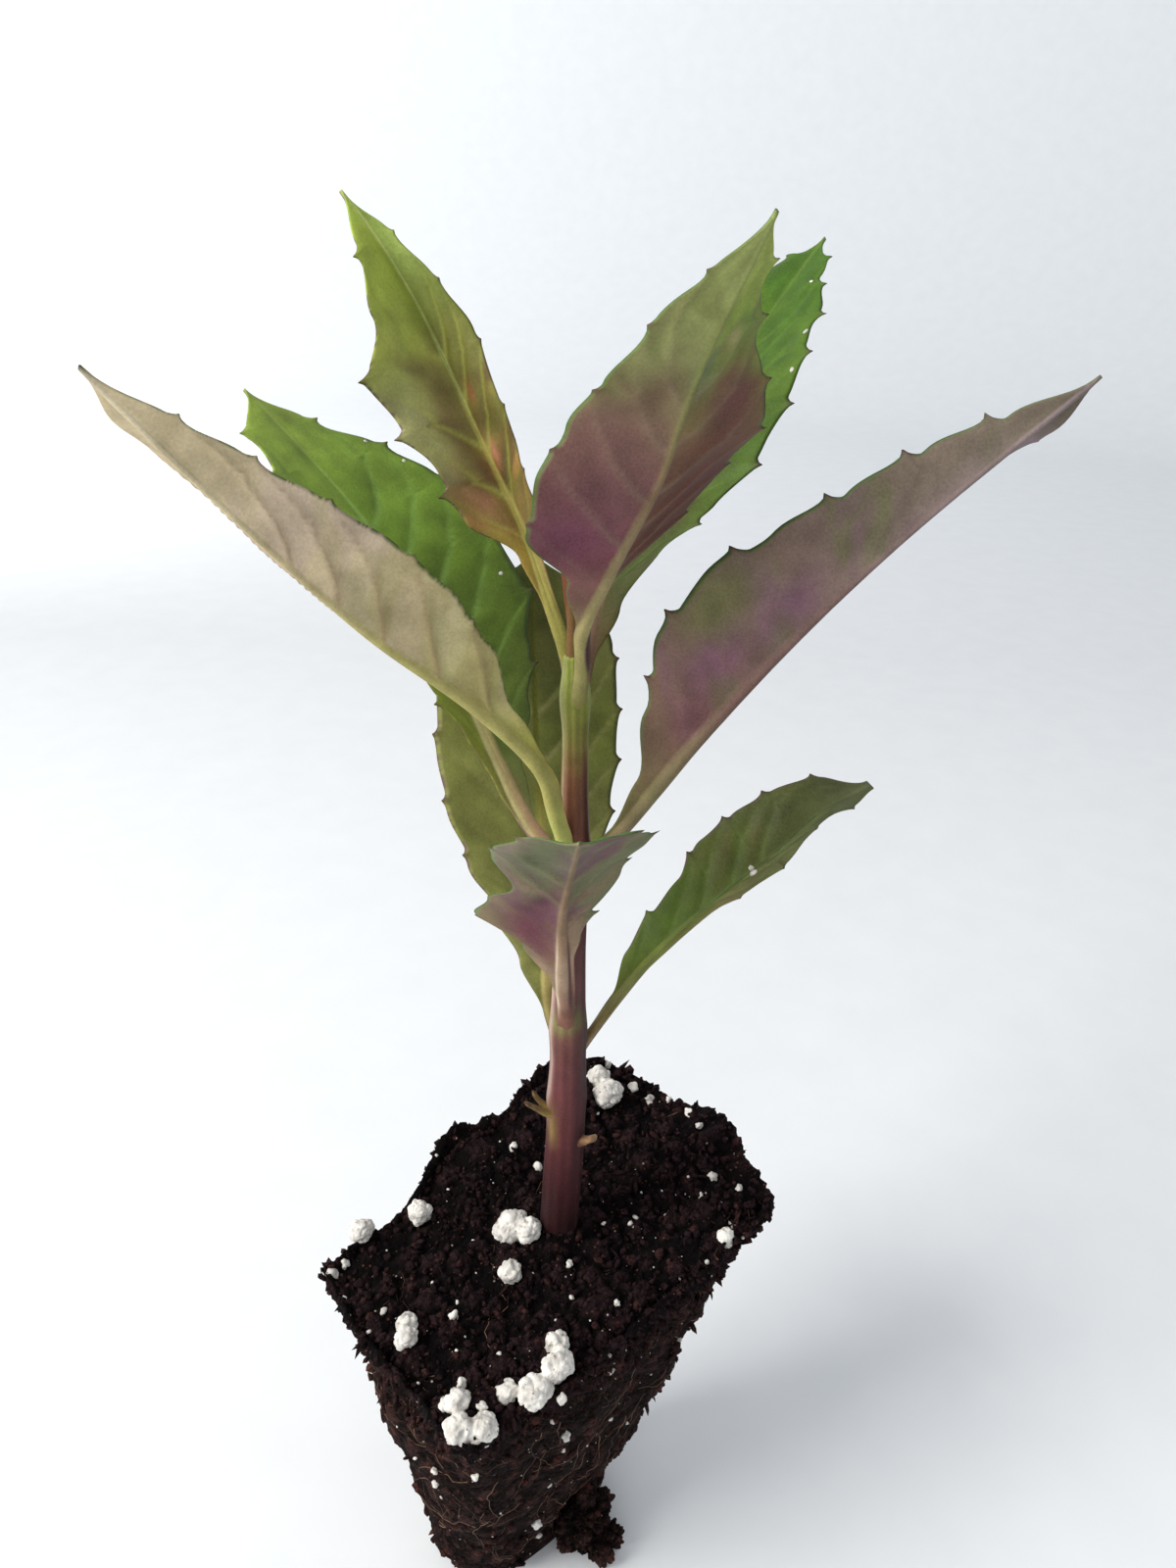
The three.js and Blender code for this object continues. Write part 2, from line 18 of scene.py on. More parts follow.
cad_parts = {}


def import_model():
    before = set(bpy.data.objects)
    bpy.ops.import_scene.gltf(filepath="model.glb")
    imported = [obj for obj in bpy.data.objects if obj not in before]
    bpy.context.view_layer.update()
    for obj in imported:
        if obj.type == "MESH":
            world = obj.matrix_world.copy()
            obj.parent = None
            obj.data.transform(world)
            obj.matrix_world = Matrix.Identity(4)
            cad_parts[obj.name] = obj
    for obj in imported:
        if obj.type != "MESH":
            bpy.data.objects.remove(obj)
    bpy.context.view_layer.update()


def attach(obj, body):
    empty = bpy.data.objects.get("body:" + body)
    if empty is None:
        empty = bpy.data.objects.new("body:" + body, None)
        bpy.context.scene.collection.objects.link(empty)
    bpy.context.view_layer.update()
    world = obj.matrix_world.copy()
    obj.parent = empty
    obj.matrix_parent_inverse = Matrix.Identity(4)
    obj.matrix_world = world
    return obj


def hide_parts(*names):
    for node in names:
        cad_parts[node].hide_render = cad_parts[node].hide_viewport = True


MM = 0.001
WELD = 0.000002  # points closer than this, in metres, become one
SOIL_HEIGHT = 60.0  # the soil surface's middle above the underside, in millimetres
BODY = "root"
SEED = 7

Colour = tuple[int, int, int]
Stops = tuple[tuple[float, int, int, int], ...]
Row = tuple[float, float, float]
Array = np.ndarray

WHITE: Colour = (255, 255, 255)

log = logging.getLogger("plug_plant")


class Slot(Enum):
    """Material slots of the record, which some pieces carry; the materials are handed to the pieces directly.
    """

    SOIL = "soil"
    PERLITE = "perlite"
    STEM = "stem"
    GREEN = "leaf_green"
    PURPLE = "leaf_purple"


# Colour and curve helpers


def linear(colour: Colour | list[Colour]) -> Array:
    """The linear values of sRGB colours of 0 to 255."""
    c = np.array(colour, float) / 255.0
    return np.where(c <= 0.04045, c / 12.92, ((c + 0.055) / 1.055) ** 2.4)


def rgba(colour: Colour) -> tuple[float, float, float, float]:
    """Linear colour with full alpha, for a shader socket."""
    return (*linear(colour), 1.0)


def toward(tone: Array, colour: Colour, share: Array) -> Array:
    """Linear colours moved by shares of the way to another colour."""
    return tone + (linear(colour) - tone) * share[:, None]


def smoothstep(x: Array, low: float, high: float) -> Array:
    """Rises smoothly from 0 at low to 1 at high."""
    t = np.clip((x - low) / (high - low), 0.0, 1.0)
    return t * t * (3.0 - 2.0 * t)


def band(x: Array, low: float, high: float, soft: float) -> Array:
    """1 between low and high and 0 outside, with edges that are soft on either side."""
    rise = smoothstep(x, low - soft, low + soft)
    return rise * (1.0 - smoothstep(x, high - soft, high + soft))


def bell(x: Array, width: float | Array) -> Array:
    """1 at 0, about a third one width away, and next to nothing two widths away."""
    return np.exp(-((x / width) ** 2))


def unit(rows: Array) -> Array:
    """The rows as vectors of length 1."""
    return rows / np.linalg.norm(rows, axis=1, keepdims=True)


def eased(places: list[float], values: list[float], x: Array) -> Array:
    """Values at places, joined by smooth steps.

    Args:
        places: rising places.
        values: the value at each place.
        x: where to read.

    Returns:
        The value at each x.
    """
    out = np.full_like(x, values[0], dtype=float)
    for a, b, va, vb in zip(places, places[1:], values, values[1:]):
        out = np.where(x > a, va + (vb - va) * smoothstep(x, a, b), out)
    return out


def along_stops(stops: Stops, x: Array) -> Array:
    """Linear colour at each x of a row of colour stops.

    Args:
        stops: rows of place, red, green and blue, with rising places.
        x: where to read.

    Returns:
        An array of shape (len(x), 3).
    """
    places = [place for place, *_ in stops]
    colours = linear([colour for _, *colour in stops])
    return np.stack([np.interp(x, places, colours[:, i]) for i in range(3)], axis=1)


def value_noise(points: Array) -> Array:
    """Smooth noise from -1 to 1 with one lump per unit, the same as the part's clods.

    Args:
        points: array of shape (n, 3).

    Returns:
        One value per point.
    """
    cell = np.floor(points)
    t = points - cell
    weight = t * t * (3.0 - 2.0 * t)
    total = np.zeros(len(points))
    for corner in itertools.product((0, 1), repeat=3):
        n = np.sin((cell + corner) @ (127.1, 311.7, 74.7)) * 43758.5453
        share = np.prod(np.where(corner, weight, 1.0 - weight), axis=1)
        total += share * (n - np.floor(n))
    return total * 2.0 - 1.0


class SmoothLine:
    """A centripetal Catmull-Rom curve through points, read by share of its length."""

    STEPS = 200
    NUDGE = 0.0001

    def __init__(self, points: list[Row]) -> None:
        """Measures the curve.

        Args:
            points: the points that the curve passes through.
        """
        p = np.array(points, float)
        self.points = np.vstack([2 * p[0] - p[1], p, 2 * p[-1] - p[-2]])
        self.t = np.linspace(0.0, 1.0, self.STEPS + 1)
        steps = np.linalg.norm(np.diff(self.at_t(self.t), axis=0), axis=1)
        self.reach = np.concatenate([[0.0], np.cumsum(steps)])
        self.length = float(self.reach[-1])

    def at_t(self, t: Array) -> Array:
        """Points of the curve.

        Args:
            t: raw parameters from 0 to 1.

        Returns:
            An array of shape (len(t), 3).
        """
        spans = len(self.points) - 3
        place = np.clip(t, 0.0, 1.0) * spans
        i = np.minimum(place.astype(int), spans - 1)
        w = (place - i)[:, None]
        p0, p1, p2, p3 = (self.points[i + k] for k in range(4))
        pairs = ((p0, p1), (p1, p2), (p2, p3))
        d0, d1, d2 = (np.sqrt(np.linalg.norm(b - a, axis=1))[:, None] for a, b in pairs)
        m1 = d1 * ((p1 - p0) / d0 - (p2 - p0) / (d0 + d1) + (p2 - p1) / d1)
        m2 = d1 * ((p2 - p1) / d1 - (p3 - p1) / (d1 + d2) + (p3 - p2) / d2)
        c2 = -3 * p1 + 3 * p2 - 2 * m1 - m2
        c3 = 2 * p1 - 2 * p2 + m1 + m2
        return p1 + w * (m1 + w * (c2 + w * c3))

    def at(self, share: Array) -> Array:
        """Points at shares of the length."""
        return self.at_t(np.interp(share * self.length, self.reach, self.t))

    def ahead(self, share: Array) -> Array:
        """Unit tangents at shares of the length."""
        t = np.interp(share * self.length, self.reach, self.t)
        return unit(self.at_t(t + self.NUDGE) - self.at_t(t - self.NUDGE))


# Mesh helpers


def finished(bm: bmesh.types.BMesh, name: str) -> Mesh:
    """Turns a bmesh into a mesh.

    Args:
        bm: the bmesh, which is freed.
        name: the mesh's name.

    Returns:
        The mesh.
    """
    mesh = bpy.data.meshes.new(name)
    bm.to_mesh(mesh)
    bm.free()
    return mesh


def ring_tube(name: str, around: int, rows: int) -> Mesh:
    """A grid to be rolled into a tube: x runs round it and y along it, both from 0 to 1.

    Args:
        name: the mesh's name.
        around: cells round the tube.
        rows: cells along it.

    Returns:
        The flat mesh.
    """
    bm = bmesh.new()
    bmesh.ops.create_grid(bm, x_segments=around, y_segments=rows, size=0.5)
    bmesh.ops.translate(bm, verts=bm.verts, vec=(0.5, 0.5, 0.0))
    return finished(bm, name)


def vectors(parts: bpy.types.bpy_prop_collection, what: str) -> Array:
    """Places, centres or normals of a mesh's vertices or faces.

    Args:
        parts: the mesh's vertices or polygons.
        what: the name of the property.

    Returns:
        An array of shape (n, 3).
    """
    flat = np.zeros(len(parts) * 3)
    parts.foreach_get(what, flat)
    return flat.reshape(-1, 3)


def move_to(mesh: Mesh, points: Array) -> None:
    """Moves the mesh's vertices, given in millimetres."""
    mesh.vertices.foreach_set("co", (points * MM).ravel())
    mesh.update()


def write_colour(mesh: Mesh, name: str, values: Array) -> None:
    """Stores three values per vertex as a colour attribute of that name."""
    filled = np.concatenate([values, np.ones((len(values), 1))], axis=1).ravel()
    mesh.color_attributes.new(name, "FLOAT_COLOR", "POINT").data.foreach_set("color", filled)


def skinned(mesh: Mesh, points: Array, paint: Array, masks: list[Array]) -> None:
    """Rolls a flat tube up, colours it, welds its seam and closes its ends.

    Args:
        mesh: the flat tube.
        points: where its vertices go, in millimetres.
        paint: their linear colours.
        masks: how far each lies on a vein, on an upper face and on an edge.
    """
    move_to(mesh, points)
    write_colour(mesh, "paint", np.clip(paint, 0.0, 1.0))
    write_colour(mesh, "masks", np.stack(masks, axis=1))
    bm = bmesh.new()
    bm.from_mesh(mesh)
    bmesh.ops.remove_doubles(bm, verts=bm.verts, dist=WELD)
    bmesh.ops.holes_fill(bm, edges=[e for e in bm.edges if e.is_boundary], sides=0)
    bmesh.ops.recalc_face_normals(bm, faces=bm.faces)
    bm.to_mesh(mesh)
    bm.free()


def placed(name: str, data: ID) -> Object:
    """Adds an object of the data to the scene.

    Args:
        name: the object's name.
        data: its mesh, light or camera.

    Returns:
        The object.
    """
    made = bpy.data.objects.new(name, data)
    bpy.context.scene.collection.objects.link(made)
    return made


def piece(mesh: Mesh, material: Material) -> Object:
    """Makes a smooth-shaded object of the mesh, riding on the plant.

    Args:
        mesh: the finished mesh, whose name the object takes.
        material: its material.

    Returns:
        The object.
    """
    mesh.polygons.foreach_set("use_smooth", [True] * len(mesh.polygons))
    mesh.materials.clear()
    mesh.materials.append(material)
    made = placed(mesh.name, mesh)
    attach(made, BODY)
    log.info("%s: %d vertices", made.name, len(mesh.vertices))
    return made


# Materials


class Nodes:
    """Adds and links nodes in a tree with little typing."""

    def __init__(self, tree: NodeTree) -> None:
        """Keeps the tree to build in."""
        self.tree = tree

    def add(self, kind: str, inputs: dict | None = None, **settings: object) -> Node:
        """Adds a node, sets its properties, and sets or links its inputs.

        Args:
            kind: the node's type name without "ShaderNode".
            inputs: values or sockets by input name or number.
            settings: properties of the node.

        Returns:
            The node.
        """
        node = self.tree.nodes.new(kind if kind.startswith("Node") else "ShaderNode" + kind)
        for name, value in settings.items():
            setattr(node, name, value)
        for name, value in (inputs or {}).items():
            self.feed(node.inputs[name], value)
        return node

    def feed(self, socket: Socket, value: object) -> None:
        """Links or sets an input.

        Args:
            socket: the input.
            value: the socket to link to it, or its value.
        """
        if isinstance(value, Socket):
            self.tree.links.new(value, socket)
        else:
            socket.default_value = value

    def math(self, operation: str, *values: object) -> Socket:
        """Result of a Math node on values or sockets."""
        return self.add("Math", dict(enumerate(values)), operation=operation).outputs[0]

    def mix(self, factor: object, low: object, high: object, blend: str = "MIX") -> Socket:
        """Mix of two colours, in which the factor is the share of the second."""
        shares = {0: factor, 6: low, 7: high}
        return self.add("Mix", shares, data_type="RGBA", blend_type=blend, clamp_factor=True).outputs[2]

    def step(self, value: object, low: float, high: float) -> Socket:
        """Smooth mask that is 0 at low and 1 at high."""
        limits = {"Value": value, "From Min": low, "From Max": high}
        return self.add("MapRange", limits, interpolation_type="SMOOTHSTEP").outputs[0]

    def noise(self, place: Socket, scale: object, detail: float) -> Node:
        """Noise pattern with that many lumps per metre."""
        return self.add("TexNoise", {"Vector": place, "Scale": scale, "Detail": detail})

    def attribute(self, name: str) -> Socket:
        """Colour stored on the mesh under that name."""
        return self.add("Attribute", attribute_name=name).outputs["Color"]


def new_group(name: str, inputs: dict[str, str], outputs: dict[str, str]) -> tuple[Nodes, list, Node]:
    """Starts a shader node group.

    Args:
        name: the group's name.
        inputs: socket type by input name.
        outputs: socket type by output name.

    Returns:
        The node builder, the sockets that the group is given, and its output node.
    """
    tree = bpy.data.node_groups.new(name, "ShaderNodeTree")
    for side, sockets in (("INPUT", inputs), ("OUTPUT", outputs)):
        for label, kind in sockets.items():
            tree.interface.new_socket(label, in_out=side, socket_type="NodeSocket" + kind)
    nodes = Nodes(tree)
    return nodes, list(nodes.add("NodeGroupInput").outputs), nodes.add("NodeGroupOutput")


def new_material(name: str) -> tuple[Material, Nodes, Node]:
    """Starts a material.

    Args:
        name: the material's name.

    Returns:
        The material, its node builder and its shader.
    """
    material = bpy.data.materials.new(name)
    material.use_nodes = True
    return material, Nodes(material.node_tree), material.node_tree.nodes["Principled BSDF"]


@dataclass(frozen=True)
class Dots:
    """Round dots: cells per metre, size in cells, share of the cells, and their colour."""

    scale: float
    size: float
    share: float
    colour: Colour
    strength: float


class Groups:
    """The shader node groups that the materials share."""

    BEND = 0.0006  # how far the net of veinlets wanders, in metres

    def __init__(self) -> None:
        """Builds every group once."""
        self.mottle = self.build_mottle()
        self.specks = self.build_specks()
        self.network = self.build_network()

    def build_mottle(self) -> NodeTree:
        """Blotches of one colour in another, by noise.

        Returns:
            The group.
        """
        nodes, given, out = new_group(
            "mottle",
            {"Vector": "Vector", "Scale": "Float", "Low": "Color", "High": "Color", "Contrast": "Float"},
            {"Color": "Color", "Mask": "Float"},
        )
        grain = nodes.noise(given[0], given[1], 6.0)
        centred = nodes.math("SUBTRACT", grain.outputs[0], 0.5)
        mask = nodes.math("MULTIPLY_ADD", centred, given[4], 0.5)
        mask = nodes.math("MINIMUM", nodes.math("MAXIMUM", mask, 0.0), 1.0)
        nodes.feed(out.inputs[0], nodes.mix(mask, given[2], given[3]))
        nodes.feed(out.inputs[1], mask)
        return nodes.tree

    def build_specks(self) -> NodeTree:
        """Small round dots in some of the cells of a pattern.

        Returns:
            The group.
        """
        nodes, given, out = new_group(
            "specks",
            {"Vector": "Vector", "Scale": "Float", "Size": "Float", "Share": "Float"},
            {"Mask": "Float"},
        )
        cells = nodes.add("TexVoronoi", {"Vector": given[0], "Scale": given[1]})
        picked = nodes.add("SeparateColor", {0: cells.outputs["Color"]})
        near = nodes.math("LESS_THAN", cells.outputs["Distance"], given[2])
        chosen = nodes.math("LESS_THAN", picked.outputs[0], given[3])
        nodes.feed(out.inputs[0], nodes.math("MULTIPLY", near, chosen))
        return nodes.tree

    def build_network(self) -> NodeTree:
        """Fine net of veinlets: 1 on a line and 0 in the fields between.

        Returns:
            The group.
        """
        nodes, given, out = new_group(
            "vein_network",
            {"Vector": "Vector", "Scale": "Float", "Width": "Float"},
            {"Mask": "Float"},
        )
        bend = nodes.noise(given[0], given[1], 2.0)
        drift = {0: bend.outputs["Color"], "Scale": self.BEND}
        wander = nodes.add("VectorMath", drift, operation="SCALE")
        moved = nodes.add("VectorMath", {0: given[0], 1: wander.outputs[0]}, operation="ADD")
        fields = {"Vector": moved.outputs[0], "Scale": given[1]}
        cells = nodes.add("TexVoronoi", fields, feature="DISTANCE_TO_EDGE")
        ratio = nodes.math("DIVIDE", cells.outputs["Distance"], given[2])
        nodes.feed(out.inputs[0], nodes.math("SUBTRACT", 1.0, nodes.step(ratio, 0.0, 1.0)))
        return nodes.tree

    def mottled(
        self, nodes: Nodes, place: Socket, scale: float, contrast: float, low: Colour, high: Colour = WHITE
    ) -> Node:
        """The mottle's node: so many lumps per metre, of two colours that part by the contrast."""
        looks = {"Vector": place, "Scale": scale, "Contrast": contrast, "Low": rgba(low), "High": rgba(high)}
        return nodes.add("Group", looks, node_tree=self.mottle)

    def dotted(self, nodes: Nodes, place: Socket, dots: Dots) -> Socket:
        """Mask that is 1 on the dots."""
        looks = {"Vector": place, "Scale": dots.scale, "Size": dots.size, "Share": dots.share}
        return nodes.add("Group", looks, node_tree=self.specks).outputs[0]

    def netted(self, nodes: Nodes, place: Socket, scale: float, width: float) -> Socket:
        """Mask that is 1 on the lines of the net."""
        looks = {"Vector": place, "Scale": scale, "Width": width}
        return nodes.add("Group", looks, node_tree=self.network).outputs[0]


@dataclass(frozen=True)
class Finish:
    """What every finish shares: a name, and the gloss and relief of its shader."""

    name: str
    specular: float = 0.5
    bump_strength: float = 0.5
    bump_depth: float = 0.0001

    def build(self, groups: Groups) -> Material:
        """Builds the material.

        Args:
            groups: the shared groups.

        Returns:
            The material.
        """
        material, nodes, shader = new_material(self.name)
        shader.inputs["Specular IOR Level"].default_value = self.specular
        place = nodes.add("TexCoord").outputs["Object"]
        tone, rough, height = self.look(nodes, groups, place)
        relief = {"Height": height, "Strength": self.bump_strength, "Distance": self.bump_depth}
        bump = nodes.add("Bump", relief).outputs[0]
        for name, socket in (("Base Color", tone), ("Roughness", rough), ("Normal", bump)):
            nodes.feed(shader.inputs[name], socket)
        return material

    def look(self, nodes: Nodes, groups: Groups, place: Socket) -> tuple[Socket, Socket, Socket]:
        """Colour, roughness and height over the surface.

        Args:
            nodes: the material's node builder.
            groups: the shared groups.
            place: the piece's own coordinates.

        Returns:
            The three sockets.
        """
        raise NotImplementedError


@dataclass(frozen=True)
class LeafFinish(Finish):
    """Leaf and stem skin: painted colour, a fine net of veinlets and a soft gloss."""

    bump_depth: float = 0.00004
    net_scale: float = 1900.0
    net_width: float = 0.16
    net_strength: float = 0.03
    net_colour: Colour = (190, 192, 160)
    net_dip: float = 0.3
    blotch_scale: float = 300.0
    blotch_dark: Colour = (206, 204, 200)
    fine_scale: float = 3200.0
    fine_dark: Colour = (226, 226, 224)
    upper_roughness: float = 0.46
    under_roughness: float = 0.66

    def look(self, nodes: Nodes, groups: Groups, place: Socket) -> tuple[Socket, Socket, Socket]:
        """The painted skin, darkened a little in blotches.

        Args:
            nodes: the material's node builder.
            groups: the shared groups.
            place: the piece's own coordinates.

        Returns:
            The colour, roughness and height.
        """
        masks = nodes.add("SeparateColor", {0: nodes.attribute("masks")})
        vein, face, edge = masks.outputs[:3]
        net = groups.netted(nodes, place, self.net_scale, self.net_width)
        blotch = groups.mottled(nodes, place, self.blotch_scale, 2.0, self.blotch_dark)
        fine = groups.mottled(nodes, place, self.fine_scale, 2.0, self.fine_dark)
        tone = nodes.mix(1.0, nodes.attribute("paint"), blotch.outputs[0], "MULTIPLY")
        tone = nodes.mix(1.0, tone, fine.outputs[0], "MULTIPLY")
        tone = nodes.mix(nodes.math("MULTIPLY", net, self.net_strength), tone, rgba(self.net_colour))
        gloss = self.upper_roughness - self.under_roughness
        rough = nodes.math("MULTIPLY_ADD", face, gloss, self.under_roughness)
        rough = nodes.math("MULTIPLY_ADD", blotch.outputs[1], 0.1, rough)
        rough = nodes.math("MULTIPLY_ADD", vein, 0.06, rough)
        dips = nodes.math("MULTIPLY_ADD", net, -self.net_dip, fine.outputs[1])
        return tone, rough, nodes.math("MULTIPLY_ADD", edge, 0.3, dips)


@dataclass(frozen=True)
class SoilFinish(Finish):
    """Dark peat: its crumbs are painted, with fine fibres, flecks and pale dust over them."""

    bump_strength: float = 0.9
    bump_depth: float = 0.0005
    bump_scale: float = 2400.0
    grain_scale: float = 2100.0
    grain_dark: Colour = (120, 112, 110)
    fibre: Colour = (92, 62, 50)
    fibre_scale: float = 520.0
    fibre_width: float = 0.05
    fibre_strength: float = 0.3
    fibre_stretch: Row = (1.0, 1.0, 3.2)
    side_height: float = 0.056
    side_fade: float = 0.004
    dots: tuple[Dots, ...] = (
        Dots(1300.0, 0.24, 0.1, (92, 62, 50), 0.6),
        Dots(900.0, 0.14, 0.05, (176, 166, 156), 0.7),
    )

    def look(self, nodes: Nodes, groups: Groups, place: Socket) -> tuple[Socket, Socket, Socket]:
        """The painted crumbs, with fibres on the block's sides.

        Args:
            nodes: the material's node builder.
            groups: the shared groups.
            place: the piece's own coordinates.

        Returns:
            The colour, roughness and height.
        """
        grain = groups.mottled(nodes, place, self.grain_scale, 3.0, self.grain_dark)
        tone = nodes.mix(1.0, nodes.attribute("paint"), grain.outputs[0], "MULTIPLY")
        level = nodes.add("SeparateXYZ", {0: place}).outputs[2]
        on_top = nodes.step(level, self.side_height - self.side_fade, self.side_height)
        drawn = nodes.add("Mapping", {"Vector": place, "Scale": self.fibre_stretch}).outputs[0]
        fibre = groups.netted(nodes, drawn, self.fibre_scale, self.fibre_width)
        fibre = nodes.math("MULTIPLY", fibre, nodes.math("SUBTRACT", 1.0, on_top))
        tone = nodes.mix(nodes.math("MULTIPLY", fibre, self.fibre_strength), tone, rgba(self.fibre))
        for dots in self.dots:
            mask = nodes.math("MULTIPLY", groups.dotted(nodes, place, dots), dots.strength)
            tone = nodes.mix(mask, tone, rgba(dots.colour))
        rough = nodes.math("MULTIPLY_ADD", grain.outputs[1], 0.2, 0.76)
        return tone, rough, nodes.noise(place, self.bump_scale, 8.0).outputs[0]


@dataclass(frozen=True)
class PerliteFinish(Finish):
    """White expanded mineral, grey in random blotches, with tiny pits darkened as painted shade, and smears
    of soil.
    """

    bump_strength: float = 0.7
    bump_depth: float = 0.00025
    bump_scale: float = 3000.0
    white: Colour = (236, 234, 228)
    grey: Colour = (186, 182, 176)
    shade_scale: float = 520.0
    # Dark colour in the sunken pits: painted shade.
    pits: Dots = Dots(1500.0, 0.2, 0.2, (96, 84, 78), 0.75)
    soil: Colour = (88, 66, 58)
    soil_scale: float = 380.0
    soil_range: tuple[float, float] = (0.58, 0.7)
    soil_strength: float = 0.6

    def look(self, nodes: Nodes, groups: Groups, place: Socket) -> tuple[Socket, Socket, Socket]:
        """White with grey, pits darkened as painted shade, and soil.

        Args:
            nodes: the material's node builder.
            groups: the shared groups.
            place: the piece's own coordinates.

        Returns:
            The colour, roughness and height.
        """
        shade = groups.mottled(nodes, place, self.shade_scale, 2.6, self.grey, self.white)
        pits = groups.dotted(nodes, place, self.pits)
        # Painted shade: the pits, sunk in the relief, are darkened.
        dark = nodes.math("MULTIPLY", pits, self.pits.strength)
        tone = nodes.mix(dark, shade.outputs[0], rgba(self.pits.colour))
        smear = nodes.step(nodes.noise(place, self.soil_scale, 6.0).outputs[0], *self.soil_range)
        tone = nodes.mix(nodes.math("MULTIPLY", smear, self.soil_strength), tone, rgba(self.soil))
        rough = nodes.math("MULTIPLY_ADD", shade.outputs[1], 0.1, 0.8)
        fine = nodes.noise(place, self.bump_scale, 5.0).outputs[0]
        return tone, rough, nodes.math("SUBTRACT", fine, pits)


@dataclass(frozen=True)
class FibreFinish(Finish):
    """Rootlets: brown strands, paler in places."""

    bump_scale: float = 3500.0
    light: Colour = (128, 98, 76)
    dark: Colour = (62, 44, 38)
    shade_scale: float = 160.0

    def look(self, nodes: Nodes, groups: Groups, place: Socket) -> tuple[Socket, Socket, Socket]:
        """Brown in lighter and darker stretches.

        Args:
            nodes: the material's node builder.
            groups: the shared groups.
            place: the piece's own coordinates.

        Returns:
            The colour, roughness and height.
        """
        shade = groups.mottled(nodes, place, self.shade_scale, 3.5, self.dark, self.light)
        rough = nodes.math("MULTIPLY_ADD", shade.outputs[1], 0.15, 0.65)
        return shade.outputs[0], rough, nodes.noise(place, self.bump_scale, 3.0).outputs[0]


# The stem

STEM_LINE: list[Row] = [
    (1.5, 0.6, -14.0),
    (1.5, 0.6, 0.0),
    (1.7, 0.4, 22.0),
    (1.4, 0.7, 44.0),
    (1.2, 0.9, 66.0),
    (0.8, 1.3, 84.0),
    (0.4, 1.6, 93.0),
]
STEM = SmoothLine([(x, y, z + SOIL_HEIGHT) for x, y, z in STEM_LINE])


def stem_at(height: float) -> Array:
    """Point on the stem's centre line, in millimetres, at a height above the soil."""
    points = STEM.at(np.linspace(0.0, 1.0, 2001))
    return points[int(np.argmin(np.abs(points[:, 2] - SOIL_HEIGHT - height)))]


def headed(heading: float) -> Array:
    """Level unit vector along a heading in degrees."""
    angle = math.radians(heading)
    return np.array([math.cos(angle), math.sin(angle), 0.0])


@dataclass(frozen=True)
class Strip:
    """A strip of another colour up one side of the stem, used both for bands of the stem's own colour and for
    painted highlights and painted shade along its lit and shaded edges.
    """

    heading: float
    width: float
    low: float
    high: float
    colour: Colour
    strength: float
    fade: float = 4.0

    def amount(self, bearing: Array, height: Array) -> Array:
        """How much of the strip shows at bearings in degrees and heights in millimetres."""
        off = (bearing - self.heading + 180.0) % 360.0 - 180.0
        return self.strength * bell(off, self.width) * band(height, self.low, self.high, self.fade)


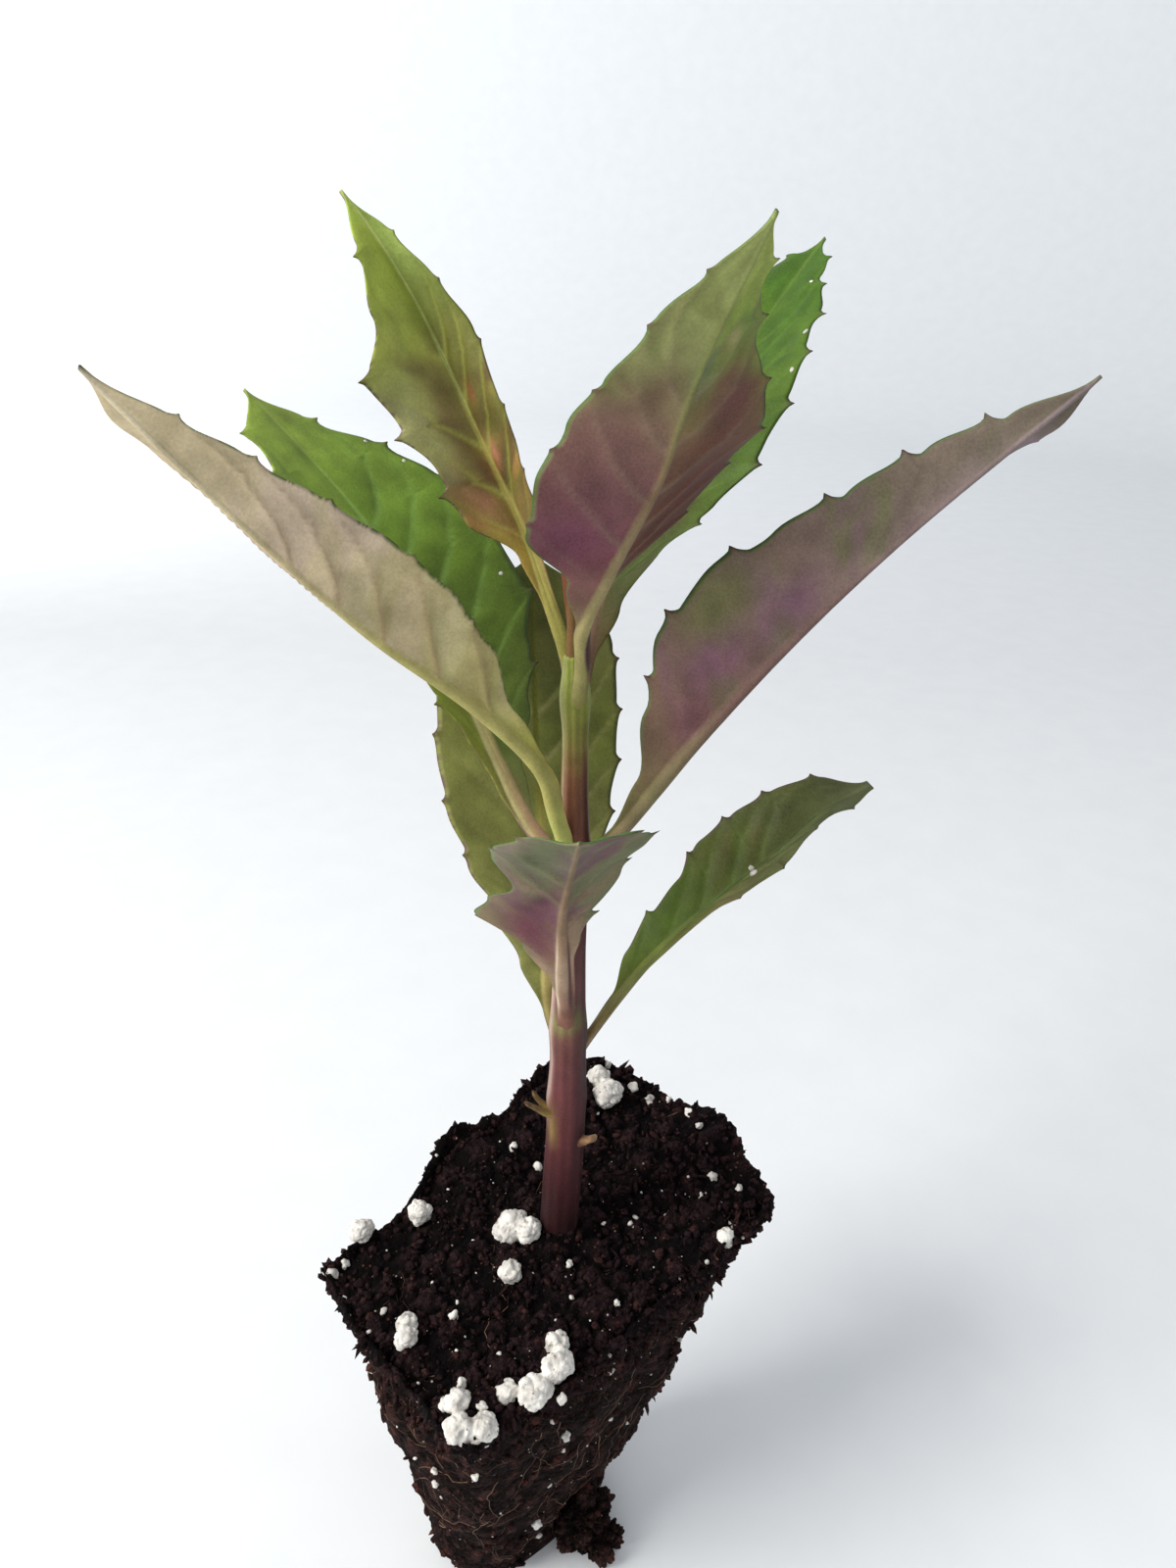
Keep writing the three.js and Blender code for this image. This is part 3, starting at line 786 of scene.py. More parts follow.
@dataclass
class Stem:
    """The upright stem, finely ridged, swollen where leaves join it."""

    heights: list[float] = field(default_factory=lambda: [-14.0, 0.0, 8.0, 24.0, 40.0, 64.0, 84.0, 93.0])
    radii: list[float] = field(default_factory=lambda: [2.4, 2.9, 2.9, 2.75, 2.3, 1.9, 1.6, 1.3])
    # Height, swelling and half length of each joint
    joints: tuple[Row, ...] = ((26.0, 0.12, 2.4), (38.0, 0.3, 3.0), (65.0, 0.4, 3.0), (87.0, 0.35, 3.0))
    ridges: int = 11
    ridge_height: float = 0.05
    twist: float = 0.006
    wobble: float = 0.09
    tip_share: float = 0.992
    around: int = 66
    rows: int = 420
    # Colour by height above the soil; the near-black stops at the foot are partly the stem's own dark maroon
    # and partly painted shade.
    skin: Stops = (
        (-4.0, 36, 14, 18), (3.0, 50, 18, 23), (12.0, 74, 26, 33), (22.0, 96, 44, 48),
        (32.0, 110, 60, 62), (37.5, 116, 72, 66), (40.2, 134, 130, 80), (43.0, 124, 84, 78),
        (48.0, 132, 80, 82), (58.0, 128, 74, 70), (68.0, 138, 84, 66), (77.0, 150, 100, 72),
        (83.0, 148, 144, 72), (89.0, 168, 180, 80), (94.0, 176, 186, 84),
    )
    strips_with_painted_light: tuple[Strip, ...] = (
        # Painted highlight up the stem's lit left edge.
        Strip(162.0, 14.0, 25.0, 62.0, (214, 186, 174), 0.7),
        Strip(186.0, 20.0, 20.0, 25.0, (158, 136, 78), 0.8),
        # Painted shade down the stem's shaded right edge.
        Strip(-70.0, 30.0, -4.0, 78.0, (62, 28, 36), 0.7),
        # Painted highlight up the lit left edge of the upper stem.
        Strip(160.0, 20.0, 64.0, 96.0, (206, 204, 160), 0.5),
    )

    def build(self, material: Material) -> Object:
        """Sweeps the stem's skin up its centre line.

        Args:
            material: the stem's material.

        Returns:
            The stem object.
        """
        mesh = ring_tube("stem_skin", self.around, self.rows)
        grid = vectors(mesh.vertices, "co")
        angle = grid[:, 0] * 2.0 * math.pi
        share = grid[:, 1]
        middle = STEM.at(share)
        ahead = STEM.ahead(share)
        level = unit(np.cross(ahead, (0.0, 1.0, 0.0)))
        other = np.cross(ahead, level)
        height = middle[:, 2] - SOIL_HEIGHT
        radius = eased(self.heights, self.radii, height)
        for at, extra, spread in self.joints:
            radius += extra * bell(height - at, spread)
        turn = angle + height * self.twist
        radius += self.ridge_height * np.sin(turn * self.ridges)
        lumps = np.stack([np.cos(angle) * 1.4, np.sin(angle) * 1.4, height * 0.16], axis=1)
        radius += self.wobble * value_noise(lumps)
        radius *= 1.0 - 0.97 * smoothstep(share, self.tip_share, 1.0)
        out = level * np.cos(angle)[:, None] + other * np.sin(angle)[:, None]
        streak = 0.5 + 0.5 * np.sin(turn * self.ridges)
        drift = value_noise(np.stack([np.cos(angle) * 2, np.sin(angle) * 2, height * 0.09], axis=1))
        paint = along_stops(self.skin, height + drift * 1.6)
        bearing = np.degrees(np.arctan2(out[:, 1], out[:, 0]))
        # The strips lay painted highlights and painted shade on the stem's edges, besides bands of its own
        # colour.
        for strip in self.strips_with_painted_light:
            paint = toward(paint, strip.colour, strip.amount(bearing + drift * 14.0, height + drift * 3.0))
        paint *= (0.8 + 0.2 * streak + 0.22 * drift)[:, None]
        masks = [streak, np.full_like(streak, 0.8), streak * 0.0]
        skinned(mesh, middle + out * radius[:, None], paint, masks)
        made = piece(mesh, material)
        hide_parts("stem")
        return made


@dataclass
class Remnant:
    """What is left of a dropped leaf: a tapering stub that frays into strands.

    It stands at a heading and a height above the soil, reaches out and rises by so many
    millimetres, and thins from its root radius to its end radius.
    """

    name: str
    heading: float
    start: float
    reach: float
    rise: float
    root: float
    end: float
    strands: int
    spread: float
    skin: Stops
    # Share of the reach, of the sideways spread and of the rise at the points between its ends
    bends: tuple[Row, ...] = ((0.45, 0.3, 0.12), (0.75, 0.7, 0.5))
    around: int = 20
    rows: int = 40

    def build(self, material: Material) -> Object:
        """Builds the stub as a sheaf of strands joined at the root.

        Args:
            material: the stub's material.

        Returns:
            The object.
        """
        draw = random.Random(f"{SEED} {self.name}")
        bm = bmesh.new()
        start = stem_at(self.start)
        out = headed(self.heading)
        aside = np.array([out[1], -out[0], 0.0])
        for i in range(self.strands):
            lean = self.spread * (i / (self.strands - 1) - 0.5) if self.strands > 1 else 0.0
            length = self.reach * draw.uniform(0.72, 1.0)
            points = [tuple(start)]
            for far, sideways, up in self.bends:
                points.append(start + out * length * far + aside * lean * sideways + (0, 0, self.rise * up))
            points.append(start + out * length + aside * lean + (0, 0, self.rise * draw.uniform(0.8, 1.15)))
            mesh = self.strand(SmoothLine(points), draw)
            bm.from_mesh(mesh)
            bpy.data.meshes.remove(mesh)
        return piece(finished(bm, self.name), material)

    def strand(self, line: SmoothLine, draw: random.Random) -> Mesh:
        """One strand, round at the root and thin at its end.

        Args:
            line: its centre line.
            draw: the random numbers.

        Returns:
            The strand's mesh.
        """
        mesh = ring_tube("strand", self.around, self.rows)
        grid = vectors(mesh.vertices, "co")
        angle = grid[:, 0] * 2.0 * math.pi
        share = grid[:, 1]
        ahead = line.ahead(share)
        level = unit(np.cross(ahead, (0.0, 0.0, 1.0)))
        upward = np.cross(level, ahead)
        radius = self.root + (self.end - self.root) * smoothstep(share, 0.0, 0.7)
        radius *= 1.0 - 0.95 * smoothstep(share, 0.9, 1.0)
        phase = draw.uniform(0.0, 40.0)
        lumps = np.stack([np.cos(angle) * 1.2 + phase, np.sin(angle) * 1.2, share * 6.0], axis=1)
        radius *= 1.0 + 0.24 * value_noise(lumps)
        flat = 1.0 - 0.45 * smoothstep(share, 0.3, 0.9)
        spot = line.at(share) + level * (radius * np.cos(angle))[:, None]
        spot = spot + upward * (radius * flat * np.sin(angle))[:, None]
        paint = along_stops(self.skin, share + 0.12 * value_noise(lumps * 2.0))
        skinned(mesh, spot, paint, [np.zeros_like(share)] * 3)
        return mesh


REMNANTS = (
    Remnant(
        "dry_leaf_base", 158, 23.4, 6.6, 3.4, 1.2, 0.5, 3, 2.4,
        ((0.0, 138, 112, 68), (0.4, 160, 138, 78), (0.8, 136, 112, 70), (1.0, 92, 70, 52)),
    ),
    Remnant(
        "side_bud", -72, 18.6, 5.3, 2.6, 1.3, 0.8, 1, 0.0,
        ((0.0, 104, 56, 52), (0.6, 134, 96, 72), (0.85, 164, 132, 98), (1.0, 124, 96, 72)),
    ),
)


# The leaves


@dataclass(frozen=True)
class BladeGrid:
    """Where each vertex of a blade lies on it.

    The share of the length; the signed share of the half width; the face, 1 above and -1 below;
    the distances in millimetres to the nearest side vein and to the midrib; the midrib's half
    width in millimetres; and how far the blade is grown, 0 on the petiole and 1 on the blade.
    """

    share: Array
    across: Array
    face: Array
    vein: Array
    beside: Array
    rib: Array
    grown: Array


@dataclass(frozen=True)
class Patch:
    """A soft-edged patch of another colour on one face of a blade."""

    share: float
    side: float
    length: float
    width: float
    colour: Colour
    strength: float = 0.8

    def amount(self, at: BladeGrid, drift: Array) -> Array:
        """How much of the patch's colour shows, its edge wandering with the drift."""
        far = ((at.share - self.share) / self.length) ** 2 + ((at.across - self.side) / self.width) ** 2
        return self.strength * np.exp(-far * (1.0 + 0.35 * drift)) * at.grown


@dataclass(frozen=True)
class Blotch:
    """Clouds of another colour over one face, between two shares of its length."""

    colour: Colour
    size: float
    strength: float = 0.6
    start: float = 0.0
    end: float = 1.0
    level: float = 0.1
    between_veins: bool = False

    def amount(self, at: BladeGrid, cloud: Array) -> Array:
        """How much of the blotch's colour shows, where the cloud rises over its level.

        Args:
            at: where each vertex lies.
            cloud: noise from about -1 to 1.

        Returns:
            A share for each vertex.
        """
        amount = smoothstep(cloud, self.level - 0.12, self.level + 0.12) * at.grown
        amount *= band(at.share, self.start, self.end, 0.06)
        if self.between_veins:
            amount *= 1.0 - 0.8 * bell(at.vein, 1.0)
        return self.strength * amount


@dataclass(frozen=True)
class FaceLook:
    """How one face of a blade is coloured; its right half may have stops of its own, and each side of its
    petiole may get a painted highlight or painted shade.
    """

    stops: Stops
    vein: Colour
    rib: Stops
    right: Stops | None = None
    vein_strength: float = 0.5
    # Colours along the left and right side of the petiole: painted highlight on the lit side, painted shade
    # on the shaded side.
    rib_left_painted_light: Colour | None = None
    rib_right_painted_light: Colour | None = None
    patches: tuple[Patch, ...] = ()
    blotches: tuple[Blotch, ...] = ()


GREEN_UPPER = FaceLook(
    stops=((0.0, 92, 110, 62), (0.3, 76, 112, 52), (0.7, 82, 124, 54), (1.0, 92, 132, 66)),
    vein=(132, 156, 88),
    rib=((0.0, 150, 112, 96), (0.25, 140, 140, 92), (1.0, 124, 148, 84)),
)
PURPLE_UNDER = FaceLook(
    stops=((0.0, 120, 92, 96), (0.4, 116, 84, 92), (0.8, 118, 98, 92), (1.0, 116, 112, 84)),
    vein=(158, 146, 128),
    rib=((0.0, 150, 126, 116), (1.0, 140, 132, 104)),
)
TOOTH_COLOUR: Colour = (78, 46, 46)


@dataclass
class Leaf:
    """A toothed blade on its petiole, folded along its midrib. Lengths are in millimetres."""

    name: str
    slot: Slot
    heading: float
    roll: tuple[float, float]
    fold: tuple[float, float]
    petiole: float
    midrib: list[Row]
    left: list[float]
    right: list[float]
    left_teeth: list[float]
    right_teeth: list[float]
    tooth: tuple[float, float]
    upper: FaceLook = GREEN_UPPER
    under: FaceLook = PURPLE_UNDER
    wave: float = 0.35
    quilt: float = 0.3
    flare: float = 0.35
    bare: float = 0.2
    tooth_drop: float = 0.014
    tooth_run: float = 0.1
    tip_half: float = 0.1
    spike: float = 0.4
    rim: float = 0.06
    tooth_dark: float = 0.9
    tip_fold: float = 0.0
    crowding: float = 5.0
    columns: int = 44
    rows: int = 210
    line: SmoothLine = field(init=False)

    SPIKE_WIDTHS = (0.34, 0.14)  # of a tooth's point, before and past its place
    CROWD_WIDTH = 0.008  # share of the length over which rows draw together at a tooth
    MIDDLE_ROWS = 1.3  # above 1 this draws the columns towards the midrib
    RIB_END = 0.3  # half width of the midrib towards the tip
    FLARE_LENGTH = 3.0
    SHEET = 0.17  # half the blade's thickness
    UPPER_RIB = 0.55  # height of the midrib above, as a share of that below
    BLADE_RUN = 0.15  # share of the length in which the blade grows from the petiole
    FULL_WIDTHS = (1.5, 5.0)  # half widths between which veins and quilting grow
    VALLEY = 1.1  # half width of the valleys over the side veins
    RIDGE = 0.5  # half width of a side vein
    RIDGE_HEIGHTS = (-0.05, 0.1)  # of a side vein, above and below
    FLOW = 0.35  # height of the blade's slow waves
    TOOTH_TIP = 0.42  # half length of a tooth's dark point

    def __post_init__(self) -> None:
        """Lays the midrib from the stem."""
        out = headed(self.heading)
        right = np.array([out[1], -out[0], 0.0])
        root = stem_at(self.midrib[0][1])
        points = []
        for reach, height, aside in self.midrib:
            spot = root + out * reach + right * aside
            points.append((spot[0], spot[1], SOIL_HEIGHT + height))
        self.line = SmoothLine(points)

    def teeth_of(self, side: int) -> list[float]:
        """Tooth places of the left (-1) or right (1) half."""
        return self.left_teeth if side < 0 else self.right_teeth

    def half_width(self, side: int, share: Array) -> Array:
        """Half width of the blade on one side, teeth included.

        Args:
            side: -1 for the left half, 1 for the right half.
            share: shares of the length.

        Returns:
            Half widths in millimetres.
        """
        widths = self.left if side < 0 else self.right
        places = [0.0, *[(i + 1) / 10 for i in range(len(widths))], 1.0]
        smooth = eased(places, [self.petiole, *widths, self.tip_half], share)
        size = self.tooth[0] if side < 0 else self.tooth[1]
        margin = smooth
        before = 0.0
        for i, place in enumerate(self.teeth_of(side)):
            start = before + self.tooth_drop if i else place - self.tooth_run
            rise = np.clip((share - start) / (place - start), 0.0, 1.0)
            fall = np.clip((share - place) / self.tooth_drop, 0.0, 1.0)
            rising = (share > start) & (share <= place)
            falling = (share > place) & (fall < 1.0)
            margin = np.where(rising, smooth + size * (0.4 * rise + 0.6 * rise**6), margin)
            margin = np.where(falling, smooth + size * (1.0 - fall) ** 1.6, margin)
            past = (share - place) * self.line.length
            needle = bell(past, np.where(past > 0.0, self.SPIKE_WIDTHS[1], self.SPIKE_WIDTHS[0]))
            margin = margin + self.spike * min(1.0, size) * needle
            before = place
        return margin

    def crowded(self, even: Array) -> Array:
        """Draws evenly spaced rows together round the teeth.

        Args:
            even: evenly spaced shares of the length.

        Returns:
            The shares that the rows are moved to.
        """
        fine = np.linspace(0.0, 1.0, 4001)
        density = np.ones_like(fine)
        for place in (*self.left_teeth, *self.right_teeth):
            density += self.crowding * bell(fine - place - self.tooth_drop / 3.0, self.CROWD_WIDTH)
        reach = np.cumsum(density)
        return np.interp(even, (reach - reach[0]) / (reach[-1] - reach[0]), fine)

    def vein_distance(self, side: int, share: Array, out: Array) -> Array:
        """Distance in millimetres to the nearest side vein of one half.

        Each side vein leaves the midrib nearer the stem and ends at a tooth.

        Args:
            side: -1 for the left half, 1 for the right half.
            share: shares of the length.
            out: shares of the half width, from 0 at the midrib to 1 at the margin.

        Returns:
            Distances in millimetres.
        """
        teeth = self.teeth_of(side)
        nearest = np.full_like(share, 99.0)
        for end in (teeth[0] - 0.13, *teeth):
            root = end - 0.07 - 0.17 * end
            path = root + (end - root) * np.clip(out, 0, 1) ** 1.35
            nearest = np.minimum(nearest, np.abs(share - path) * self.line.length * 0.85)
        return nearest

    def build(self, material: Material) -> Object:
        """Builds the leaf and lets it stand for its CAD node.

        Args:
            material: the leaf's material.

        Returns:
            The leaf object.
        """
        mesh = ring_tube(self.name + "_blade", self.columns * 2, self.rows)
        grid = vectors(mesh.vertices, "co")
        share = self.crowded(grid[:, 1])
        turn = grid[:, 0]
        face = np.where(turn <= 0.5, 1.0, -1.0)
        raw = np.where(turn <= 0.5, -1.0 + 4.0 * turn, 3.0 - 4.0 * turn)
        across = np.sign(raw) * np.abs(raw) ** self.MIDDLE_ROWS
        left = across < 0
        side = np.where(left, -1.0, 1.0)
        out = np.abs(across)
        edge = np.where(left, self.half_width(-1, share), self.half_width(1, share))
        beside = edge * out
        vein = np.where(left, self.vein_distance(-1, share, out), self.vein_distance(1, share, out))

        middle = self.line.at(share)
        ahead = self.line.ahead(share)
        level = unit(np.stack([ahead[:, 1], -ahead[:, 0], np.zeros_like(share)], axis=1))
        roll = np.radians(self.roll[0] + (self.roll[1] - self.roll[0]) * share)[:, None]
        right = level * np.cos(roll) - np.cross(ahead, level) * np.sin(roll)
        up = np.cross(right, ahead)

        rib = self.petiole + (self.RIB_END - self.petiole) * smoothstep(share, 0.0, 0.8)
        rib = rib * (1.0 + self.flare * bell(share * self.line.length, self.FLARE_LENGTH))
        unfolded = (1.0 - self.tip_fold) * smoothstep(share, 0.85, 1.0)
        folded = smoothstep(share, 0.05, 0.3) * (1.0 - unfolded)
        lean = folded * np.radians(np.where(left, *self.fold)) * (out > 0)
        sheet = self.SHEET * np.sqrt(np.clip(1.0 - out**6, 0.0, 1.0))
        hump = np.sqrt(np.clip(rib**2 - beside**2, 0.0, None))
        half = np.maximum(sheet, hump * np.where(face > 0, self.UPPER_RIB, 1.0))
        grown = smoothstep(edge, *self.FULL_WIDTHS) * smoothstep(share, self.bare, self.bare + self.BLADE_RUN)
        ridge = bell(vein, self.RIDGE) * (1.0 - out) * grown
        half = half + np.where(face > 0, *self.RIDGE_HEIGHTS) * ridge * (hump < sheet)
        valley = bell(vein, self.VALLEY) * (1.0 - out**3)
        swell = self.quilt * grown * (0.5 - valley) * smoothstep(out, 0.02, 0.25)
        phase = self.heading * 0.31
        ripple = np.sin(share * 17.0 + phase) + 0.6 * np.sin(share * 31.0 + side * 1.7 + phase)
        swell = swell + self.wave * grown * out**2 * ripple
        flow = value_noise(np.stack([share * 9.0 + phase, across * 1.6, side * 0.0], axis=1))
        swell = swell + self.FLOW * grown * flow * smoothstep(out, 0.05, 0.6)

        lift = (face * half + swell)[:, None]
        lean = lean[:, None]
        sideways = (side * beside)[:, None]
        spot = middle + right * (sideways * np.cos(lean) - lift * side[:, None] * np.sin(lean))
        spot = spot + up * (beside[:, None] * np.sin(lean) + lift * np.cos(lean))
        skinned(mesh, spot, *self.paint(BladeGrid(share, across, face, vein, beside, rib, grown)))
        made = piece(mesh, material)
        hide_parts(self.name)
        return made

    def cloud(self, at: BladeGrid, size: float, layer: float) -> Array:
        """Noise over the blade, drawn out a little along its side veins.

        Args:
            at: where each vertex lies.
            size: size of a cloud in millimetres.
            layer: number that tells this noise from the others.

        Returns:
            Values from about -1 to 1.
        """
        aside = at.beside * np.sign(at.across)
        along = at.share * self.line.length - at.beside * 0.8
        seed = self.heading * 0.7 + layer * 7.3
        rows = [along / size + seed, aside / (size * 1.8) + seed, np.full_like(at.share, layer)]
        spots = np.stack(rows, axis=1)
        return value_noise(spots) * 0.7 + value_noise(spots * 2.6 + 5.0) * 0.3

    def face_paint(
        self, look: FaceLook, side: float, at: BladeGrid, drift: Array, vein_line: Array
    ) -> Array:
        """Linear colour of one face.

        Args:
            look: how the face is coloured.
            side: 1 for the upper face and -1 for the lower.
            at: where each vertex lies.
            drift: slow noise from about -1 to 1.
            vein_line: 1 on a side vein and 0 beside it.

        Returns:
            An array of shape (n, 3).
        """
        place = at.share + 0.05 * drift
        tone = along_stops(look.stops, place)
        if look.right is not None:
            other = along_stops(look.right, place)
            tone = tone + (other - tone) * smoothstep(at.across, -0.12, 0.12)[:, None]
        tone = tone * (1.0 + 0.22 * drift)[:, None]
        for i, blotch in enumerate(look.blotches):
            cloud = self.cloud(at, blotch.size, i + 3.0 * side)
            tone = toward(tone, blotch.colour, blotch.amount(at, cloud))
        for patch in look.patches:
            tone = toward(tone, patch.colour, patch.amount(at, drift))
        tone = toward(tone, look.vein, look.vein_strength * vein_line)
        rib_tone = along_stops(look.rib, at.share)
        # Painted highlight and painted shade along the petiole's sides.
        for edge, half in ((look.rib_left_painted_light, -1.0), (look.rib_right_painted_light, 1.0)):
            if edge is not None:
                near = smoothstep(at.beside / at.rib, 0.25, 0.7) * (np.sign(at.across) == half)
                near *= smoothstep(at.share, 0.04, 0.14)
                near *= 1.0 - smoothstep(at.share, self.bare + 0.12, self.bare + 0.3)
                rib_tone = toward(rib_tone, edge, near)
        rib_line = 1.0 - smoothstep(at.beside / at.rib, 0.75, 1.25)
        return tone + (rib_tone - tone) * rib_line[:, None]

    def paint(self, at: BladeGrid) -> tuple[Array, list[Array]]:
        """Colours both faces of the blade.

        Args:
            at: where each vertex lies.

        Returns:
            The linear colours, and the masks of the veins, the upper face and the dark edges.
        """
        out = np.abs(at.across)
        seed = self.heading * 0.7
        along = at.share * self.line.length
        ground = np.stack([along * 0.16 + seed, at.across * 2.6 + seed, at.face], axis=1)
        drift = value_noise(ground) * 0.6 + value_noise(ground * 2.3 + 9.0) * 0.4
        vein_line = bell(at.vein, 0.5 - 0.18 * out) * (1.0 - 0.6 * out) * at.grown
        above = self.face_paint(self.upper, 1.0, at, drift, vein_line)
        below = self.face_paint(self.under, -1.0, at, drift, vein_line)
        colour = np.where((at.face > 0)[:, None], above, below)
        tip = np.zeros_like(at.share)
        for half in (-1, 1):
            for place in self.teeth_of(half):
                near = bell((at.share - place) * self.line.length, self.TOOTH_TIP)
                near *= (np.sign(at.across) == half) * smoothstep(out, 0.9, 1.0)
                tip = np.maximum(tip, near)
        rim = smoothstep(out, 0.97, 1.0) * at.grown * self.rim
        dark = np.clip(np.maximum(tip * self.tooth_dark, rim), 0.0, 1.0)
        return toward(colour, TOOTH_COLOUR, dark), [vein_line, (at.face + 1.0) / 2.0, dark]


# How the leaves' faces are coloured, where they differ from the two looks above
LOWER_RIGHT_UPPER = FaceLook(
    stops=(
        (0.0, 170, 126, 100), (0.14, 150, 158, 80), (0.26, 104, 124, 36), (0.4, 86, 112, 28),
        (0.65, 78, 92, 31), (0.8, 82, 90, 42), (1.0, 110, 118, 78),
    ),
    right=(
        (0.0, 160, 120, 104), (0.25, 138, 152, 66), (0.4, 116, 124, 60), (0.7, 104, 117, 66),
        (1.0, 112, 120, 80),
    ),
    vein=(112, 132, 70),
    rib=(
        (0.0, 176, 134, 112), (0.3, 150, 162, 76), (0.5, 94, 116, 54), (0.8, 94, 108, 60),
        (1.0, 130, 138, 100),
    ),
    patches=(
        Patch(0.44, 0.8, 0.12, 0.5, (158, 118, 104), 0.75), Patch(0.3, -0.6, 0.1, 0.5, (92, 124, 36), 0.5),
    ),
    blotches=(Blotch((96, 84, 50), 3.0, 0.35, 0.55, 1.0, 0.1, True),),
)
LOWER_BACK_UPPER = FaceLook(
    stops=((0.0, 130, 132, 72), (0.3, 146, 150, 80), (0.6, 142, 148, 76), (0.9, 104, 114, 44)),
    right=(
        (0.0, 126, 130, 70), (0.4, 124, 128, 66), (0.62, 102, 110, 44), (0.8, 98, 102, 46),
        (1.0, 90, 96, 40),
    ),
    vein=(172, 170, 108),
    rib=(
        (0.0, 176, 160, 104), (0.4, 184, 172, 98), (0.52, 132, 130, 46), (0.64, 100, 104, 26),
        (1.0, 104, 108, 40),
    ),
    vein_strength=0.55,
)
LOWER_FRONT_UNDER = FaceLook(
    stops=(
        (0.0, 140, 108, 78), (0.14, 164, 116, 102), (0.26, 190, 154, 132), (0.38, 172, 146, 120),
        (0.52, 142, 118, 96), (0.75, 130, 114, 92), (1.0, 136, 120, 100),
    ),
    right=(
        (0.0, 146, 128, 100), (0.15, 176, 156, 130), (0.3, 140, 114, 94), (0.42, 135, 104, 91),
        (0.6, 130, 111, 91), (0.8, 134, 123, 94), (1.0, 142, 130, 103),
    ),
    vein=(142, 130, 100), vein_strength=0.65,
    rib=(
        (0.0, 120, 76, 66), (0.08, 142, 100, 86), (0.25, 186, 160, 136), (0.4, 150, 122, 98),
        (0.6, 138, 114, 90), (1.0, 142, 126, 100),
    ),
    # Painted shade on the petiole's left side and painted highlight on its right.
    rib_left_painted_light=(98, 58, 64), rib_right_painted_light=(206, 188, 166),
    blotches=(
        Blotch((110, 118, 84), 4.0, 0.75, 0.45, 1.0, 0.0),
        Blotch((118, 80, 98), 2.6, 0.75, 0.4, 1.0, 0.0, True),
    ),
    patches=(
        Patch(0.4, 0.42, 0.13, 0.36, (110, 56, 74), 0.95),
        Patch(0.57, 0.28, 0.07, 0.26, (112, 62, 84), 0.85),
        Patch(0.36, 0.95, 0.16, 0.26, (142, 132, 96), 0.9),
        Patch(0.8, 0.45, 0.12, 0.4, (112, 122, 88), 0.85), Patch(0.8, 0.95, 0.14, 0.22, (146, 132, 118)),
        Patch(0.62, 0.12, 0.06, 0.12, (124, 84, 92), 0.6), Patch(0.7, -0.95, 0.3, 0.25, (116, 124, 84)),
    ),
)
MIDDLE_BACK_UPPER = FaceLook(
    stops=(
        (0.0, 214, 170, 152), (0.14, 168, 162, 90), (0.28, 150, 158, 54), (0.7, 142, 178, 62),
        (1.0, 162, 188, 76),
    ),
    right=(
        (0.0, 200, 164, 128), (0.12, 166, 168, 102), (0.25, 104, 122, 54), (0.42, 88, 110, 38),
        (0.56, 102, 131, 40), (0.68, 114, 148, 48), (0.84, 132, 163, 62), (1.0, 156, 178, 82),
    ),
    vein=(150, 194, 96),
    rib=(
        (0.0, 228, 168, 154), (0.15, 226, 196, 144), (0.3, 208, 196, 124), (0.6, 142, 186, 86),
        (1.0, 164, 186, 92),
    ),
    # Painted highlight on the petiole's left side.
    rib_left_painted_light=(206, 196, 140), vein_strength=0.6,
)
MIDDLE_LEFT_UNDER = FaceLook(
    stops=(
        (0.0, 212, 204, 120), (0.12, 206, 182, 108), (0.25, 184, 180, 92), (0.38, 198, 188, 130),
        (0.52, 208, 195, 152), (0.66, 224, 205, 168), (1.0, 226, 208, 168),
    ),
    # The dark vein colour is partly the veins' own tint and partly painted shade in the valleys over the side
    # veins.
    vein=(160, 132, 98),
    rib=(
        (0.0, 214, 222, 124), (0.15, 198, 190, 112), (0.5, 198, 188, 120), (0.65, 212, 196, 150),
        (1.0, 236, 220, 188),
    ),
    vein_strength=0.75,
    blotches=(
        Blotch((224, 200, 184), 6.0, 0.5, 0.3, 1.0),
        Blotch((176, 160, 104), 4.0, 0.45, 0.12, 0.62, 0.05),
    ),
)
MIDDLE_RIGHT_UNDER = FaceLook(
    stops=(
        (0.0, 144, 132, 100), (0.14, 142, 130, 82), (0.27, 130, 104, 84), (0.4, 119, 92, 83),
        (0.55, 117, 94, 88), (0.7, 118, 103, 92), (1.0, 114, 104, 90),
    ),
    vein=(128, 106, 98),
    blotches=(
        Blotch((98, 104, 58), 5.0, 0.6, 0.0, 0.85),
        Blotch((126, 90, 112), 4.0, 0.4, 0.25, 0.75, 0.25, True),
    ),
    rib=(
        (0.0, 150, 124, 100), (0.2, 140, 130, 92), (0.38, 120, 90, 84), (0.6, 124, 98, 96),
        (0.8, 140, 122, 120), (1.0, 136, 122, 124),
    ),
    vein_strength=0.3,
    patches=(
        Patch(0.42, 0.45, 0.06, 0.26, (124, 78, 108)), Patch(0.55, 0.3, 0.05, 0.24, (118, 80, 106), 0.75),
        Patch(0.32, 0.3, 0.05, 0.3, (128, 78, 94), 0.75),
        Patch(0.48, 0.75, 0.07, 0.3, (104, 108, 60), 0.85), Patch(0.85, -0.5, 0.2, 0.6, (158, 136, 146)),
    ),
)
